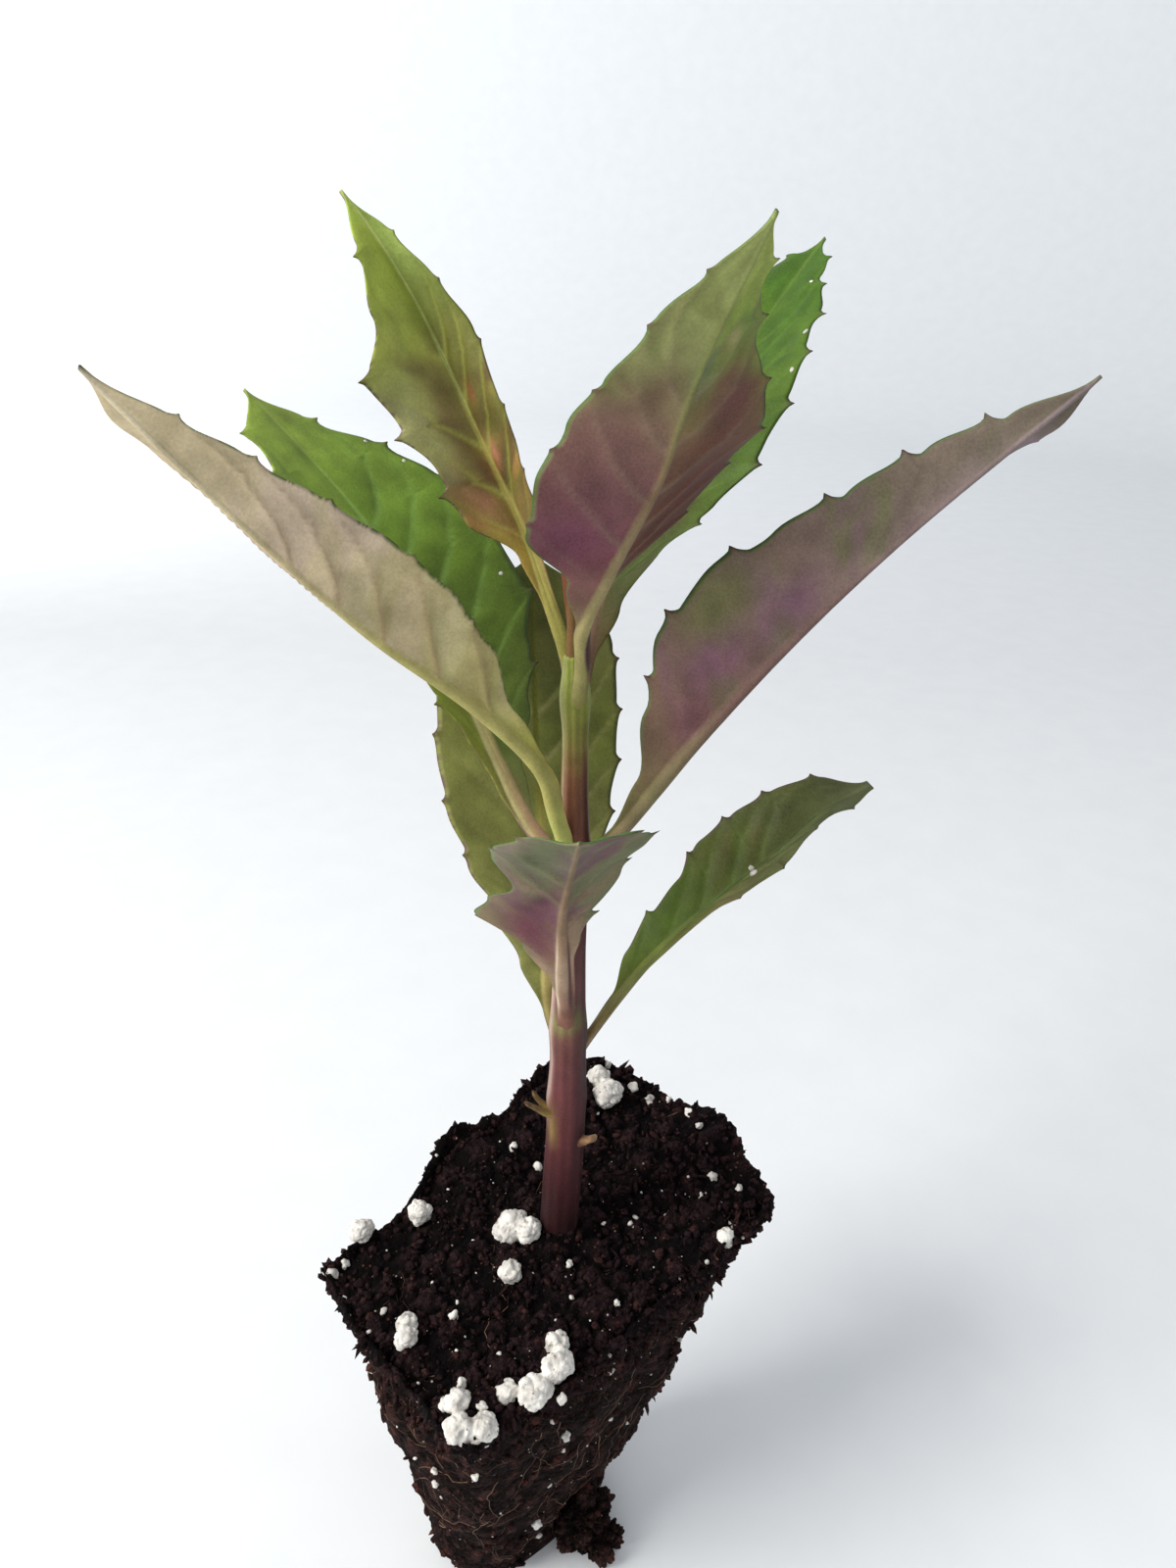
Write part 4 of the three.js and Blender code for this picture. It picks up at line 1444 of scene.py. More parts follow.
UPPER_LEFT_UPPER = FaceLook(
    stops=(
        (0.0, 180, 174, 84), (0.15, 168, 154, 90), (0.3, 180, 152, 66), (0.45, 162, 144, 72),
        (0.6, 186, 180, 104), (0.8, 180, 198, 80), (1.0, 182, 206, 84),
    ),
    right=(
        (0.0, 184, 170, 100), (0.2, 168, 148, 96), (0.4, 138, 116, 64), (0.55, 134, 120, 60),
        (0.7, 138, 142, 68), (0.85, 154, 174, 86), (1.0, 164, 188, 88),
    ),
    vein=(190, 192, 92),
    rib=(
        (0.0, 178, 178, 90), (0.3, 172, 160, 84), (0.5, 188, 174, 90), (0.7, 192, 202, 122),
        (1.0, 190, 206, 108),
    ),
    vein_strength=0.75,
    blotches=(
        Blotch((138, 144, 62), 5.0, 0.5, 0.36, 0.8, 0.15),
        Blotch((104, 74, 50), 4.0, 0.8, 0.3, 0.7, 0.0, True),
        Blotch((206, 136, 84), 2.4, 0.45, 0.2, 0.5, 0.35),
    ),
    patches=(
        Patch(0.5, 0.26, 0.03, 0.12, (216, 148, 116), 0.9), Patch(0.61, 0.3, 0.024, 0.12, (190, 112, 76)),
        Patch(0.42, -0.5, 0.035, 0.25, (208, 148, 110), 0.9),
        Patch(0.5, -0.7, 0.03, 0.18, (170, 124, 92), 0.7),
        Patch(0.6, -0.85, 0.13, 0.34, (196, 196, 134), 0.85),
        Patch(0.74, -0.8, 0.06, 0.3, (198, 206, 96), 0.7), Patch(0.55, -0.3, 0.1, 0.2, (122, 96, 66)),
        Patch(0.64, -0.22, 0.08, 0.16, (130, 112, 66), 0.7),
        Patch(0.36, -0.3, 0.07, 0.3, (134, 98, 66), 0.7), Patch(0.58, 0.6, 0.1, 0.3, (116, 98, 54), 0.55),
    ),
)
UPPER_FRONT_UNDER = FaceLook(
    stops=(
        (0.0, 166, 146, 100), (0.12, 144, 106, 82), (0.25, 121, 96, 82), (0.38, 104, 60, 40),
        (0.5, 110, 74, 46), (0.64, 134, 106, 76), (0.76, 140, 162, 62), (1.0, 170, 184, 98),
    ),
    right=(
        (0.0, 162, 157, 88), (0.13, 180, 170, 116), (0.25, 154, 114, 102), (0.38, 137, 82, 90),
        (0.5, 132, 94, 88), (0.62, 130, 107, 86), (0.75, 142, 144, 91), (1.0, 158, 170, 98),
    ),
    vein=(154, 134, 112),
    rib=(
        (0.0, 156, 150, 84), (0.2, 182, 170, 116), (0.38, 156, 138, 102), (0.52, 136, 110, 84),
        (0.75, 138, 144, 84), (1.0, 152, 164, 96),
    ),
    # Painted shade on the petiole's left side.
    vein_strength=0.4, rib_left_painted_light=(84, 52, 58),
    blotches=(
        Blotch((116, 122, 66), 4.0, 0.5, 0.64, 0.95),
        Blotch((112, 62, 62), 4.0, 0.45, 0.35, 0.8, 0.15, True),
    ),
    patches=(
        Patch(0.4, 0.6, 0.08, 0.6, (120, 66, 88), 0.9), Patch(0.52, 0.4, 0.07, 0.4, (120, 74, 86), 0.6),
        Patch(0.6, 0.6, 0.09, 0.55, (124, 88, 84), 0.75), Patch(0.7, 0.35, 0.05, 0.3, (124, 94, 78), 0.6),
        Patch(0.68, -0.6, 0.06, 0.4, (122, 74, 78), 0.85),
        Patch(0.5, -0.65, 0.08, 0.4, (104, 54, 52), 0.85),
        Patch(0.62, -0.55, 0.08, 0.4, (110, 70, 64), 0.7),
        Patch(0.75, -0.1, 0.05, 0.15, (110, 122, 96), 0.7), Patch(0.8, -0.45, 0.018, 0.12, (206, 180, 140)),
        Patch(0.82, -0.6, 0.05, 0.25, (118, 148, 70)),
    ),
)
UPPER_RIGHT_UPPER = FaceLook(
    stops=(
        (0.0, 166, 116, 102), (0.12, 124, 108, 68), (0.26, 80, 90, 38), (0.45, 74, 100, 27),
        (0.65, 70, 105, 22), (0.85, 74, 114, 28), (1.0, 80, 120, 36),
    ),
    vein=(104, 142, 54),
    rib=((0.0, 166, 118, 106), (0.2, 138, 112, 88), (0.45, 92, 122, 42), (1.0, 96, 128, 48)),
    blotches=(Blotch((96, 128, 30), 5.0, 0.4, 0.3, 1.0),),
    patches=(Patch(0.38, 0.4, 0.06, 0.35, (78, 58, 24)),),
)
SHOOT_UPPER = FaceLook(
    stops=((0.0, 120, 90, 62), (1.0, 118, 74, 58)), vein=(140, 110, 80),
    rib=((0.0, 140, 120, 80), (1.0, 130, 100, 70)),
)
SHOOT_UNDER = FaceLook(
    stops=((0.0, 138, 100, 56), (0.4, 122, 66, 50), (1.0, 104, 52, 46)),
    vein=(132, 82, 64), rib=((0.0, 142, 108, 62), (1.0, 120, 66, 52)),
)

# The leaves from the lowest to the growing tip, as the part has them
LEAVES = (
    Leaf(
        name="leaf_lower_right", slot=Slot.GREEN, heading=-21, roll=(-15, -15), fold=(15, 35), petiole=0.8,
        midrib=[
            (0, 31.6, 0), (7, 41.6, 0.2), (12, 48, 0.6), (20.5, 55, 0.4), (29.5, 61.5, 0.3), (36, 66.5, 0),
            (43.5, 70, 0),
        ],
        left=[0.8, 1.1, 3.6, 4.8, 5.6, 8.4, 8.4, 7.2, 5.0],
        right=[0.8, 1.1, 1.8, 2.2, 2.4, 5.4, 4.6, 3.8, 3.0],
        left_teeth=[0.4, 0.56, 0.68, 0.8, 0.9],
        right_teeth=[0.58, 0.7, 0.82, 0.92],
        tooth=(0.75, 0.7), spike=0.25, tip_half=0.9, upper=LOWER_RIGHT_UPPER,
    ),
    Leaf(
        name="leaf_lower_back", slot=Slot.GREEN, heading=63, roll=(0, 0), fold=(8, 8), petiole=1.1,
        midrib=[
            (0, 33, 0), (3.6, 39, -1.9), (5.7, 45.5, -2), (9, 55, -1.9), (14.5, 68, -1.9), (21, 80, -1.5),
            (31, 97.5, 0),
        ],
        left=[1.2, 4.0, 7.2, 10.8, 13.2, 14.0, 13.8, 11.8, 8.0],
        right=[2.2, 4.2, 6.0, 8.0, 9.8, 11.0, 11.4, 11.0, 8.6],
        left_teeth=[0.3, 0.42, 0.52, 0.64, 0.78, 0.9],
        right_teeth=[0.36, 0.48, 0.58, 0.68, 0.78, 0.9],
        tooth=(0.6, 0.7), spike=0.3, bare=0.05, upper=LOWER_BACK_UPPER,
    ),
    Leaf(
        name="leaf_lower_front", slot=Slot.PURPLE, heading=-132, roll=(0, 0), fold=(24, 17), petiole=1.2,
        midrib=[
            (0, 39, 0), (5.2, 49, 0.9), (8.6, 56, 1.2), (13.5, 64.5, 1.4), (19.5, 73, 0.7), (30, 82.9, 0),
        ],
        left=[1.2, 1.5, 1.5, 2.4, 3.6, 7.6, 9.0, 9.4, 7.0],
        right=[1.2, 1.8, 6.0, 12.0, 9.6, 6.2, 9.0, 9.0, 6.0],
        left_teeth=[0.5, 0.64, 0.8, 0.92],
        right_teeth=[0.38, 0.78, 0.9],
        tooth=(1.0, 0.7), spike=0.25, tip_fold=0.7, flare=0.9, under=LOWER_FRONT_UNDER,
    ),
    Leaf(
        name="leaf_middle_back", slot=Slot.GREEN, heading=108, roll=(10, 10), fold=(12, 12), petiole=1.2,
        midrib=[
            (0, 62, 0), (7.3, 68.5, -0.4), (11.5, 74, 0), (17.5, 82.5, 0.6), (26.5, 94, 1.8),
            (36.5, 104, 1.8), (53, 117.5, 0.3),
        ],
        left=[1.2, 2.0, 3.4, 5.5, 7.5, 9.0, 9.5, 8.6, 6.2],
        right=[1.2, 3.0, 7.5, 11.5, 15.0, 15.0, 13.8, 10.0, 4.6],
        left_teeth=[0.36, 0.48, 0.6, 0.71, 0.82, 0.92],
        right_teeth=[0.36, 0.48, 0.6, 0.7, 0.8, 0.9],
        tooth=(1.1, 1.1), upper=MIDDLE_BACK_UPPER,
    ),
    Leaf(
        name="leaf_middle_left", slot=Slot.GREEN, heading=-177, roll=(-30, -30), fold=(35, 42),
        petiole=1.12,
        midrib=[
            (0, 64, 0), (3.4, 71.5, -0.2), (6.5, 79, -0.3), (14.5, 88, 2), (27, 98.5, 4.3), (39, 110, 4.2),
            (47.5, 118.5, 2.9), (56, 127, 0.3),
        ],
        left=[1.2, 1.4, 3.0, 7.0, 9.4, 9.0, 7.0, 4.8, 2.5],
        right=[1.2, 1.4, 3.0, 6.5, 9.0, 9.0, 7.4, 5.0, 2.6],
        left_teeth=[0.44, 0.58, 0.7, 0.8, 0.9],
        right_teeth=[0.4, 0.52, 0.64, 0.75, 0.86],
        tooth=(0.5, 0.4), spike=0.25, rim=0.02, tooth_dark=0.3, quilt=0.6, under=MIDDLE_LEFT_UNDER,
    ),
    Leaf(
        name="leaf_middle_right", slot=Slot.PURPLE, heading=-59, roll=(32, 66), fold=(56, 32), petiole=1.25,
        midrib=[
            (0, 63, 0), (5.4, 69.5, -0.1), (9.7, 76, -0.5), (16, 85.5, -1), (25, 98, -1.2), (35, 110.5, -1),
            (50.5, 128, 0.1),
        ],
        left=[1.3, 2.8, 7.0, 10.0, 10.6, 9.6, 7.6, 5.4, 3.0],
        right=[1.5, 3.0, 7.4, 12.0, 12.6, 10.2, 7.8, 5.6, 2.8],
        left_teeth=[0.34, 0.46, 0.58, 0.7, 0.8, 0.9],
        right_teeth=[0.34, 0.43, 0.55, 0.68, 0.78, 0.88],
        tooth=(1.1, 1.1), quilt=0.12, under=MIDDLE_RIGHT_UNDER,
    ),
    Leaf(
        name="leaf_upper_left", slot=Slot.GREEN, heading=121, roll=(40, 40), fold=(8, 58), petiole=0.9,
        midrib=[
            (0, 86, 0), (1.5, 92, 0.2), (3.8, 97.5, 0.8), (7.5, 105.5, 1.7), (13.8, 116, 2.6),
            (19.6, 126.5, 2.7), (24, 134, 1.5), (29.2, 141, 0),
        ],
        left=[0.9, 0.9, 1.9, 6.2, 7.2, 9.0, 10.6, 7.4, 3.4],
        right=[0.9, 0.9, 1.2, 3.5, 4.6, 5.0, 4.8, 3.6, 1.8],
        left_teeth=[0.46, 0.58, 0.7, 0.9],
        right_teeth=[0.44, 0.56, 0.68, 0.8, 0.9],
        tooth=(1.3, 0.3), bare=0.25, upper=UPPER_LEFT_UPPER,
    ),
    Leaf(
        name="leaf_upper_front", slot=Slot.PURPLE, heading=-105, roll=(0, 0), fold=(15, 15), petiole=1.0,
        midrib=[
            (0, 85, 0), (2.5, 91.5, 0.6), (4.2, 97, 1.6), (8.4, 105, 0.6), (15, 115.5, -0.6),
            (21, 125.5, 0), (31.6, 140.5, 0),
        ],
        left=[1.0, 1.0, 2.2, 11.0, 13.0, 11.0, 9.2, 5.6, 2.8],
        right=[1.0, 1.0, 4.6, 11.8, 12.6, 10.6, 8.4, 6.0, 3.0],
        left_teeth=[0.4, 0.5, 0.6, 0.7, 0.82, 0.92],
        right_teeth=[0.42, 0.56, 0.68, 0.8, 0.9],
        tooth=(0.9, 0.35), bare=0.25, under=UPPER_FRONT_UNDER,
    ),
    Leaf(
        name="leaf_upper_right", slot=Slot.GREEN, heading=8, roll=(0, 0), fold=(12, 12), petiole=1.0,
        midrib=[
            (0, 84, 0), (2.8, 90.5, -1.1), (5.7, 97, -1.9), (12, 105, -1.2), (21.5, 115.5, -1.2),
            (31, 125, -1.1), (46.3, 139, 0),
        ],
        left=[1.0, 3.6, 7.6, 11.0, 12.6, 12.0, 10.6, 8.0, 4.6],
        right=[1.1, 3.6, 7.1, 10.0, 12.6, 12.2, 11.4, 8.6, 4.2],
        left_teeth=[0.4, 0.52, 0.64, 0.76, 0.88, 0.95],
        right_teeth=[0.36, 0.48, 0.6, 0.7, 0.8, 0.88, 0.95],
        tooth=(1.1, 1.1), bare=0.12, upper=UPPER_RIGHT_UPPER,
    ),
    Leaf(
        name="shoot_leaf", slot=Slot.PURPLE, heading=-170, roll=(0, 0), fold=(20, 20), petiole=0.8,
        midrib=[(0, 92, 0), (0.5, 96, 0), (1.3, 101, 0), (2.4, 106, 0.1), (3.4, 111, 0.3)],
        left=[0.9, 1.2, 1.6, 2.0, 2.1, 2.0, 1.7, 1.3, 0.9],
        right=[0.9, 1.2, 1.6, 2.0, 2.1, 2.0, 1.7, 1.3, 0.9],
        left_teeth=[0.6, 0.8],
        right_teeth=[0.5, 0.74],
        tooth=(0.2, 0.2), wave=0.1, quilt=0.05, columns=24, rows=90, upper=SHOOT_UPPER, under=SHOOT_UNDER,
    ),
)


# Soil and perlite

SOIL_TOP: Colour = (46, 32, 35)
SOIL_SIDE: Colour = (58, 41, 40)
SOIL_REDDISH: Colour = (82, 50, 44)
# Near black laid into the creases between crumbs: painted shade.
SOIL_CREASE_SHADE: Colour = (14, 10, 11)
# Small perlite grains: pixel across and down in the photo, and size in millimetres
SMALL_GRAINS: tuple[Row, ...] = (
    (606, 1096, 2.4), (620, 1086, 1.8), (646, 1110, 2.0), (662, 1124, 2.0), (682, 1122, 1.2),
    (703, 1136, 1.6), (713, 1149, 1.2), (727, 1201, 1.7), (754, 1213, 1.3), (715, 1221, 1.1),
    (773, 1184, 1.2), (746, 1251, 1.4), (463, 1344, 1.4), (426, 1234, 2.6), (336, 1301, 2.4),
    (573, 1428, 1.4), (454, 1433, 1.6), (491, 1435, 1.5), (471, 1413, 1.6), (577, 1464, 1.4),
    (635, 1376, 1.1), (624, 1397, 1.4), (629, 1330, 1.1), (548, 1554, 1.6), (582, 1585, 2.4),
    (445, 1513, 1.2), (485, 1506, 1.1), (577, 1548, 1.3), (620, 1128, 1.2), (574, 1250, 1.2),
    (524, 1170, 1.4), (548, 1192, 1.4), (580, 1290, 1.2), (352, 1290, 1.6), (444, 1500, 1.3),
)
# Pale specks on the leaves: pixel across and down in the photo, and size in millimetres
LEAF_SPECKS: tuple[Row, ...] = (
    (828, 287, 0.6), (822, 338, 0.75), (808, 377, 0.7), (373, 450, 0.5), (412, 470, 0.5),
    (511, 585, 0.6), (769, 891, 1.4), (767, 886, 0.9),
)
# Crumb size, height and pattern shift, from coarse to fine; each middle crumb has one tone
CRUMB_SIZES: tuple[Row, ...] = ((4.2, 1.3, 0.0), (1.7, 0.8, 31.0), (0.8, 0.3, 57.0))
TONE_LAYER = 1


def crumble(points: Array) -> tuple[Array, Array]:
    """Relief of crumbs: rounded lumps of three sizes with creases between.

    Args:
        points: array of shape (n, 3), in millimetres.

    Returns:
        Height in millimetres to add along the surface normal, and a tone from 0 to 1 that all
        points of one crumb share.
    """
    relief = np.zeros(len(points))
    centres = np.zeros_like(points)
    for layer, (size, height, shift) in enumerate(CRUMB_SIZES):
        offset = Vector((shift, shift, shift))
        for i, point in enumerate(points):
            far, near = noise.voronoi(Vector(point) / size + offset)
            crease = min(1.0, (far[1] - far[0]) * 2.2)
            relief[i] += height * (crease * (1.0 - 0.7 * far[0]) - 0.45)
            if layer == TONE_LAYER:
                centres[i] = near[0]
    tone = np.sin(centres @ (12.9898, 78.233, 37.719)) * 43758.5453
    return relief + 0.22 * value_noise(points / 0.6), tone - np.floor(tone)


def soil_paint(height: Array, relief: Array, tone: Array) -> Array:
    """Linear colour of the soil: darkened to near black in its creases as painted shade, browner on the
    block's sides.

    Args:
        height: height above the underside in millimetres.
        relief: height of the crumbs in millimetres.
        tone: tone of each crumb from 0 to 1.

    Returns:
        An array of shape (n, 3).
    """
    on_top = smoothstep(height, 51.0, 59.0)
    base = toward(linear(SOIL_SIDE), SOIL_TOP, on_top)
    base = toward(base, SOIL_REDDISH, smoothstep(tone, 0.86, 0.92) * (0.65 - 0.4 * on_top))
    base = base * (0.7 + 0.6 * tone)[:, None]
    # Painted shade: near black where the crumbs' relief is lowest.
    return toward(base, SOIL_CREASE_SHADE, 1.0 - smoothstep(relief, -0.55, 0.35))


@dataclass(frozen=True)
class Mound:
    """A rise of the soil surface, and how far the rim stands out there."""

    x: float
    y: float
    height: float
    spread: float
    overhang: float

    def share(self, x: Array, y: Array) -> Array:
        """Share of its height left at each point."""
        return np.exp(-((x - self.x) ** 2 + (y - self.y) ** 2) / self.spread**2)


@dataclass
class RootBall:
    """The tapering block of peat, crumbly all over, and the lumps at its foot."""

    top: tuple[float, float] = (61.0, 39.0)
    bottom: tuple[float, float] = (33.0, 16.0)
    foot_shift: float = -3.5
    top_rise: float = 2.4
    corners: tuple[float, float] = (0.2, 0.05)
    foot_draw: float = 0.1
    rim_drop: float = 1.2
    clod_height: float = 1.3
    clod_size: float = 7.0
    clod_fade: float = 0.1
    mounds: tuple[Mound, ...] = (
        Mound(-1.0, 20.0, 5.0, 8.0, 6.0),
        Mound(16.0, 20.0, 7.0, 9.0, 6.0),
        Mound(27.0, 17.0, 2.4, 12.0, 2.0),
        Mound(32.0, -3.0, 4.0, 10.0, 4.0),
        Mound(1.5, 0.6, 2.4, 8.0, 0.0),
    )
    # Centre and size of each lump
    lumps: tuple[tuple[Row, Row], ...] = (
        ((0.5, -9.6, 5.0), (11.0, 9.0, 11.0)), ((1.6, -13.0, 2.6), (8.0, 7.0, 6.0)),
    )
    lump_relief: float = 1.3
    lump_foot: float = 0.02
    cuts: int = 129

    def soil_level(self, x: Array, y: Array) -> Array:
        """Height of the soil surface before its clods.

        Args:
            x: places across the block in millimetres.
            y: places along it.

        Returns:
            Heights in millimetres.
        """
        level = SOIL_HEIGHT + self.top_rise * x / (self.top[0] / 2.0)
        for mound in self.mounds:
            level = level + mound.height * mound.share(x, y)
        return level

    def clod(self, points: Array) -> Array:
        """Height of the clods at points in millimetres."""
        return self.clod_height * value_noise(points / self.clod_size)

    def block_shape(self, cube: Array) -> Array:
        """Moves a cube from -1 to 1 into the tapering block.

        Args:
            cube: points on the cube's faces.

        Returns:
            The points in millimetres.
        """
        x, y = cube[:, 0], cube[:, 1]
        level = (cube[:, 2] + 1.0) / 2.0
        corner = self.corners[0] + (self.corners[1] - self.corners[0]) * level**3
        drawn = 1.0 - corner * (x * y) ** 2 - self.foot_draw * (1.0 - level) ** 5
        half_long, half_short = (
            (low + (high - low) * level) / 2.0 * drawn for low, high in zip(self.bottom, self.top)
        )
        px = x * half_long + self.foot_shift * (1.0 - level)
        py = y * half_short
        pz = self.soil_level(px, py) * level
        bump = self.clod(np.stack([px, py, pz], axis=1)) * smoothstep(level, 0.0, self.clod_fade)
        lip = sum(mound.overhang * mound.share(px, py) for mound in self.mounds)
        out = bump + lip * level**4
        edge = np.maximum(np.abs(x), np.abs(y))
        pz = np.where(level > 0.999, pz + bump - self.rim_drop * edge**8, pz)
        side = edge > 0.999
        far = np.hypot(x, y) + 1e-9
        px = np.where(side, px + out * x / far, px)
        py = np.where(side, py + out * y / far, py)
        return np.stack([px, py, pz], axis=1)

    def build_block(self, material: Material) -> Object:
        """Builds the crumbly block.

        Args:
            material: the soil's material.

        Returns:
            The block object.
        """
        bm = bmesh.new()
        bmesh.ops.create_cube(bm, size=2.0)
        bmesh.ops.subdivide_edges(bm, edges=bm.edges, cuts=self.cuts, use_grid_fill=True)
        under = [face for face in bm.faces if face.normal.z < -0.5]
        bmesh.ops.dissolve_faces(bm, faces=under)
        mesh = finished(bm, "peat_block")
        shaped = self.block_shape(vectors(mesh.vertices, "co"))
        move_to(mesh, shaped)
        relief, tone = crumble(shaped)
        height = shaped[:, 2]
        calm = 0.4 + 0.6 * smoothstep(height, 40.0, 54.0)
        detail = relief * calm * smoothstep(height, 0.0, 2.5)
        move_to(mesh, shaped + vectors(mesh.vertices, "normal") * detail[:, None])
        write_colour(mesh, "paint", soil_paint(height, relief, tone))
        made = piece(mesh, material)
        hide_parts("root_ball")
        return made

    def build_lumps(self, material: Material) -> Object:
        """Builds the lumps of soil held at the foot.

        Args:
            material: the soil's material.

        Returns:
            The object.
        """
        bm = bmesh.new()
        for at, size in self.lumps:
            scaled = Matrix.Translation(at) @ Matrix.Diagonal((*(s / 2.0 for s in size), 1.0))
            bmesh.ops.create_icosphere(bm, subdivisions=6, radius=1.0, matrix=scaled)
        mesh = finished(bm, "peat_foot_lumps")
        shaped = vectors(mesh.vertices, "co")
        relief, tone = crumble(shaped)
        moved = shaped + vectors(mesh.vertices, "normal") * (relief * self.lump_relief)[:, None]
        moved[:, 2] = np.maximum(moved[:, 2], self.lump_foot)
        move_to(mesh, moved)
        write_colour(mesh, "paint", soil_paint(shaped[:, 2], relief, tone))
        return piece(mesh, material)


@dataclass(frozen=True)
class Spot:
    """Where a bit lies: place in metres, outward normal, radius in millimetres, and its colour."""

    place: Vector
    normal: Vector
    radius: float
    colour: Row = (0.5, 0.5, 0.5)


@dataclass(frozen=True)
class Scatter:
    """Small bits spread over a surface, each a copy of one of a few templates."""

    name: str
    seed: int
    template_total: int = 10
    knob: float = 0.3
    detail: int = 2
    stretch: tuple[Row, Row] = ((0.7, 0.6, 0.5), (1.3, 1.1, 0.9))
    lean: float = 0.0

    def templates(self, draw: random.Random) -> list[Mesh]:
        """Rough little stones of one millimetre radius.

        Args:
            draw: the random numbers.

        Returns:
            The template meshes.
        """
        made = []
        for _ in range(self.template_total):
            bm = bmesh.new()
            bmesh.ops.create_icosphere(bm, subdivisions=self.detail, radius=MM)
            shift = Vector(draw.uniform(0.0, 50.0) for _ in range(3))
            stretch = [draw.uniform(low, high) for low, high in zip(*self.stretch)]
            for vert in bm.verts:
                lump = 1.0 + self.knob * noise.noise(vert.co / MM * 1.3 + shift) * 1.6
                vert.co = Vector(a * b for a, b in zip(vert.co * lump, stretch))
            made.append(finished(bm, "template"))
        return made

    def build(self, spots: list[Spot], slot: Slot, material: Material) -> Object:
        """Puts a bit at each spot.

        Args:
            spots: where the bits lie.
            slot: the record's slot; not used.
            material: the material.

        Returns:
            The object that holds all the bits.
        """
        draw = random.Random(self.seed)
        shapes = self.templates(draw)
        bm = bmesh.new()
        colours = []
        for spot in spots:
            turned = spot.normal.to_track_quat("Z", "Y").to_matrix().to_4x4()
            tilted = Matrix.Rotation(self.lean * draw.uniform(-1.0, 1.0), 4, "X")
            spun = Matrix.Rotation(draw.uniform(0.0, 2.0 * math.pi), 4, "Z")
            sized = Matrix.Scale(spot.radius, 4)
            copy = draw.choice(shapes).copy()
            copy.transform(Matrix.Translation(spot.place) @ turned @ tilted @ spun @ sized)
            bm.from_mesh(copy)
            colours += [spot.colour] * len(copy.vertices)
            bpy.data.meshes.remove(copy)
        mesh = finished(bm, self.name)
        write_colour(mesh, "paint", np.array(colours))
        for shape in shapes:
            bpy.data.meshes.remove(shape)
        return piece(mesh, material)


@dataclass(frozen=True)
class Strewing:
    """One kind of bit strewn over the block.

    The sizes are the smallest radius, the range and the power that makes large ones rare, in
    millimetres. The rise is how far a bit's middle stands off the surface, as a share of its
    radius. A face's favour is a base plus an extra that grows between two heights, and with
    on_rim only where the face is steep.
    """

    total: int
    sizes: Row
    rise: float
    favour: tuple[float, float]
    heights: tuple[float, float]
    seed: int
    bits: Scatter
    slot: Slot = Slot.SOIL
    on_rim: bool = False


SOIL_CRUMBS = Strewing(
    3600, (0.2, 0.8, 2.6), 0.2, (0.4, 1.6), (50.0, 60.0), SEED + 1,
    Scatter("soil_crumbs", SEED + 2, knob=0.5, detail=1),
)
PEAT_FLAKES = Strewing(
    1900, (0.4, 1.0, 2.4), 0.35, (0.03, 3.0), (46.0, 56.0), SEED + 6,
    Scatter("peat_flakes", SEED + 7, 14, 0.5, 1, ((0.12, 0.3, 0.7), (0.35, 0.8, 1.4)), 1.1),
    on_rim=True,
)
PERLITE_DUST = Strewing(
    290, (0.09, 0.45, 4.0), 0.3, (0.6, 0.8), (50.0, 58.0), SEED + 3,
    Scatter("perlite_dust", SEED + 4), Slot.PERLITE,
)
SMALL_PERLITE = Scatter("small_perlite", SEED + 8, 16, 0.35, 3, ((0.8, 0.7, 0.7), (1.2, 1.05, 1.0)))
SPECKS = Scatter("leaf_specks", SEED + 9, 6, 0.2, 2, ((0.9, 0.8, 0.25), (1.15, 1.0, 0.35)))


def surface(objects: list[Object]) -> BVHTree:
    """The faces of objects, for rays to be cast at.

    Args:
        objects: the objects.

    Returns:
        Their faces as one tree.
    """
    bm = bmesh.new()
    for each in objects:
        bm.from_mesh(each.data)
    tree = BVHTree.FromBMesh(bm)
    bm.free()
    return tree


def seen_spots(studio: "Studio", tree: BVHTree, rows: tuple[Row, ...], rise: float) -> list[Spot]:
    """Spots on a surface where the photo shows small bits.

    Args:
        studio: the camera's place and view.
        tree: the surface.
        rows: pixel across and down in the photo, and size in millimetres, of each bit.
        rise: how far a bit's middle stands off the surface, as a share of its size.

    Returns:
        The spots of the bits whose lines of sight meet the surface.
    """
    spots = []
    for across, down, size in rows:
        place, normal, _, _ = tree.ray_cast(*studio.ray(across, down))
        if place is not None:
            spots.append(Spot(place + normal * size * rise * MM, normal, size / 2.0))
    return spots


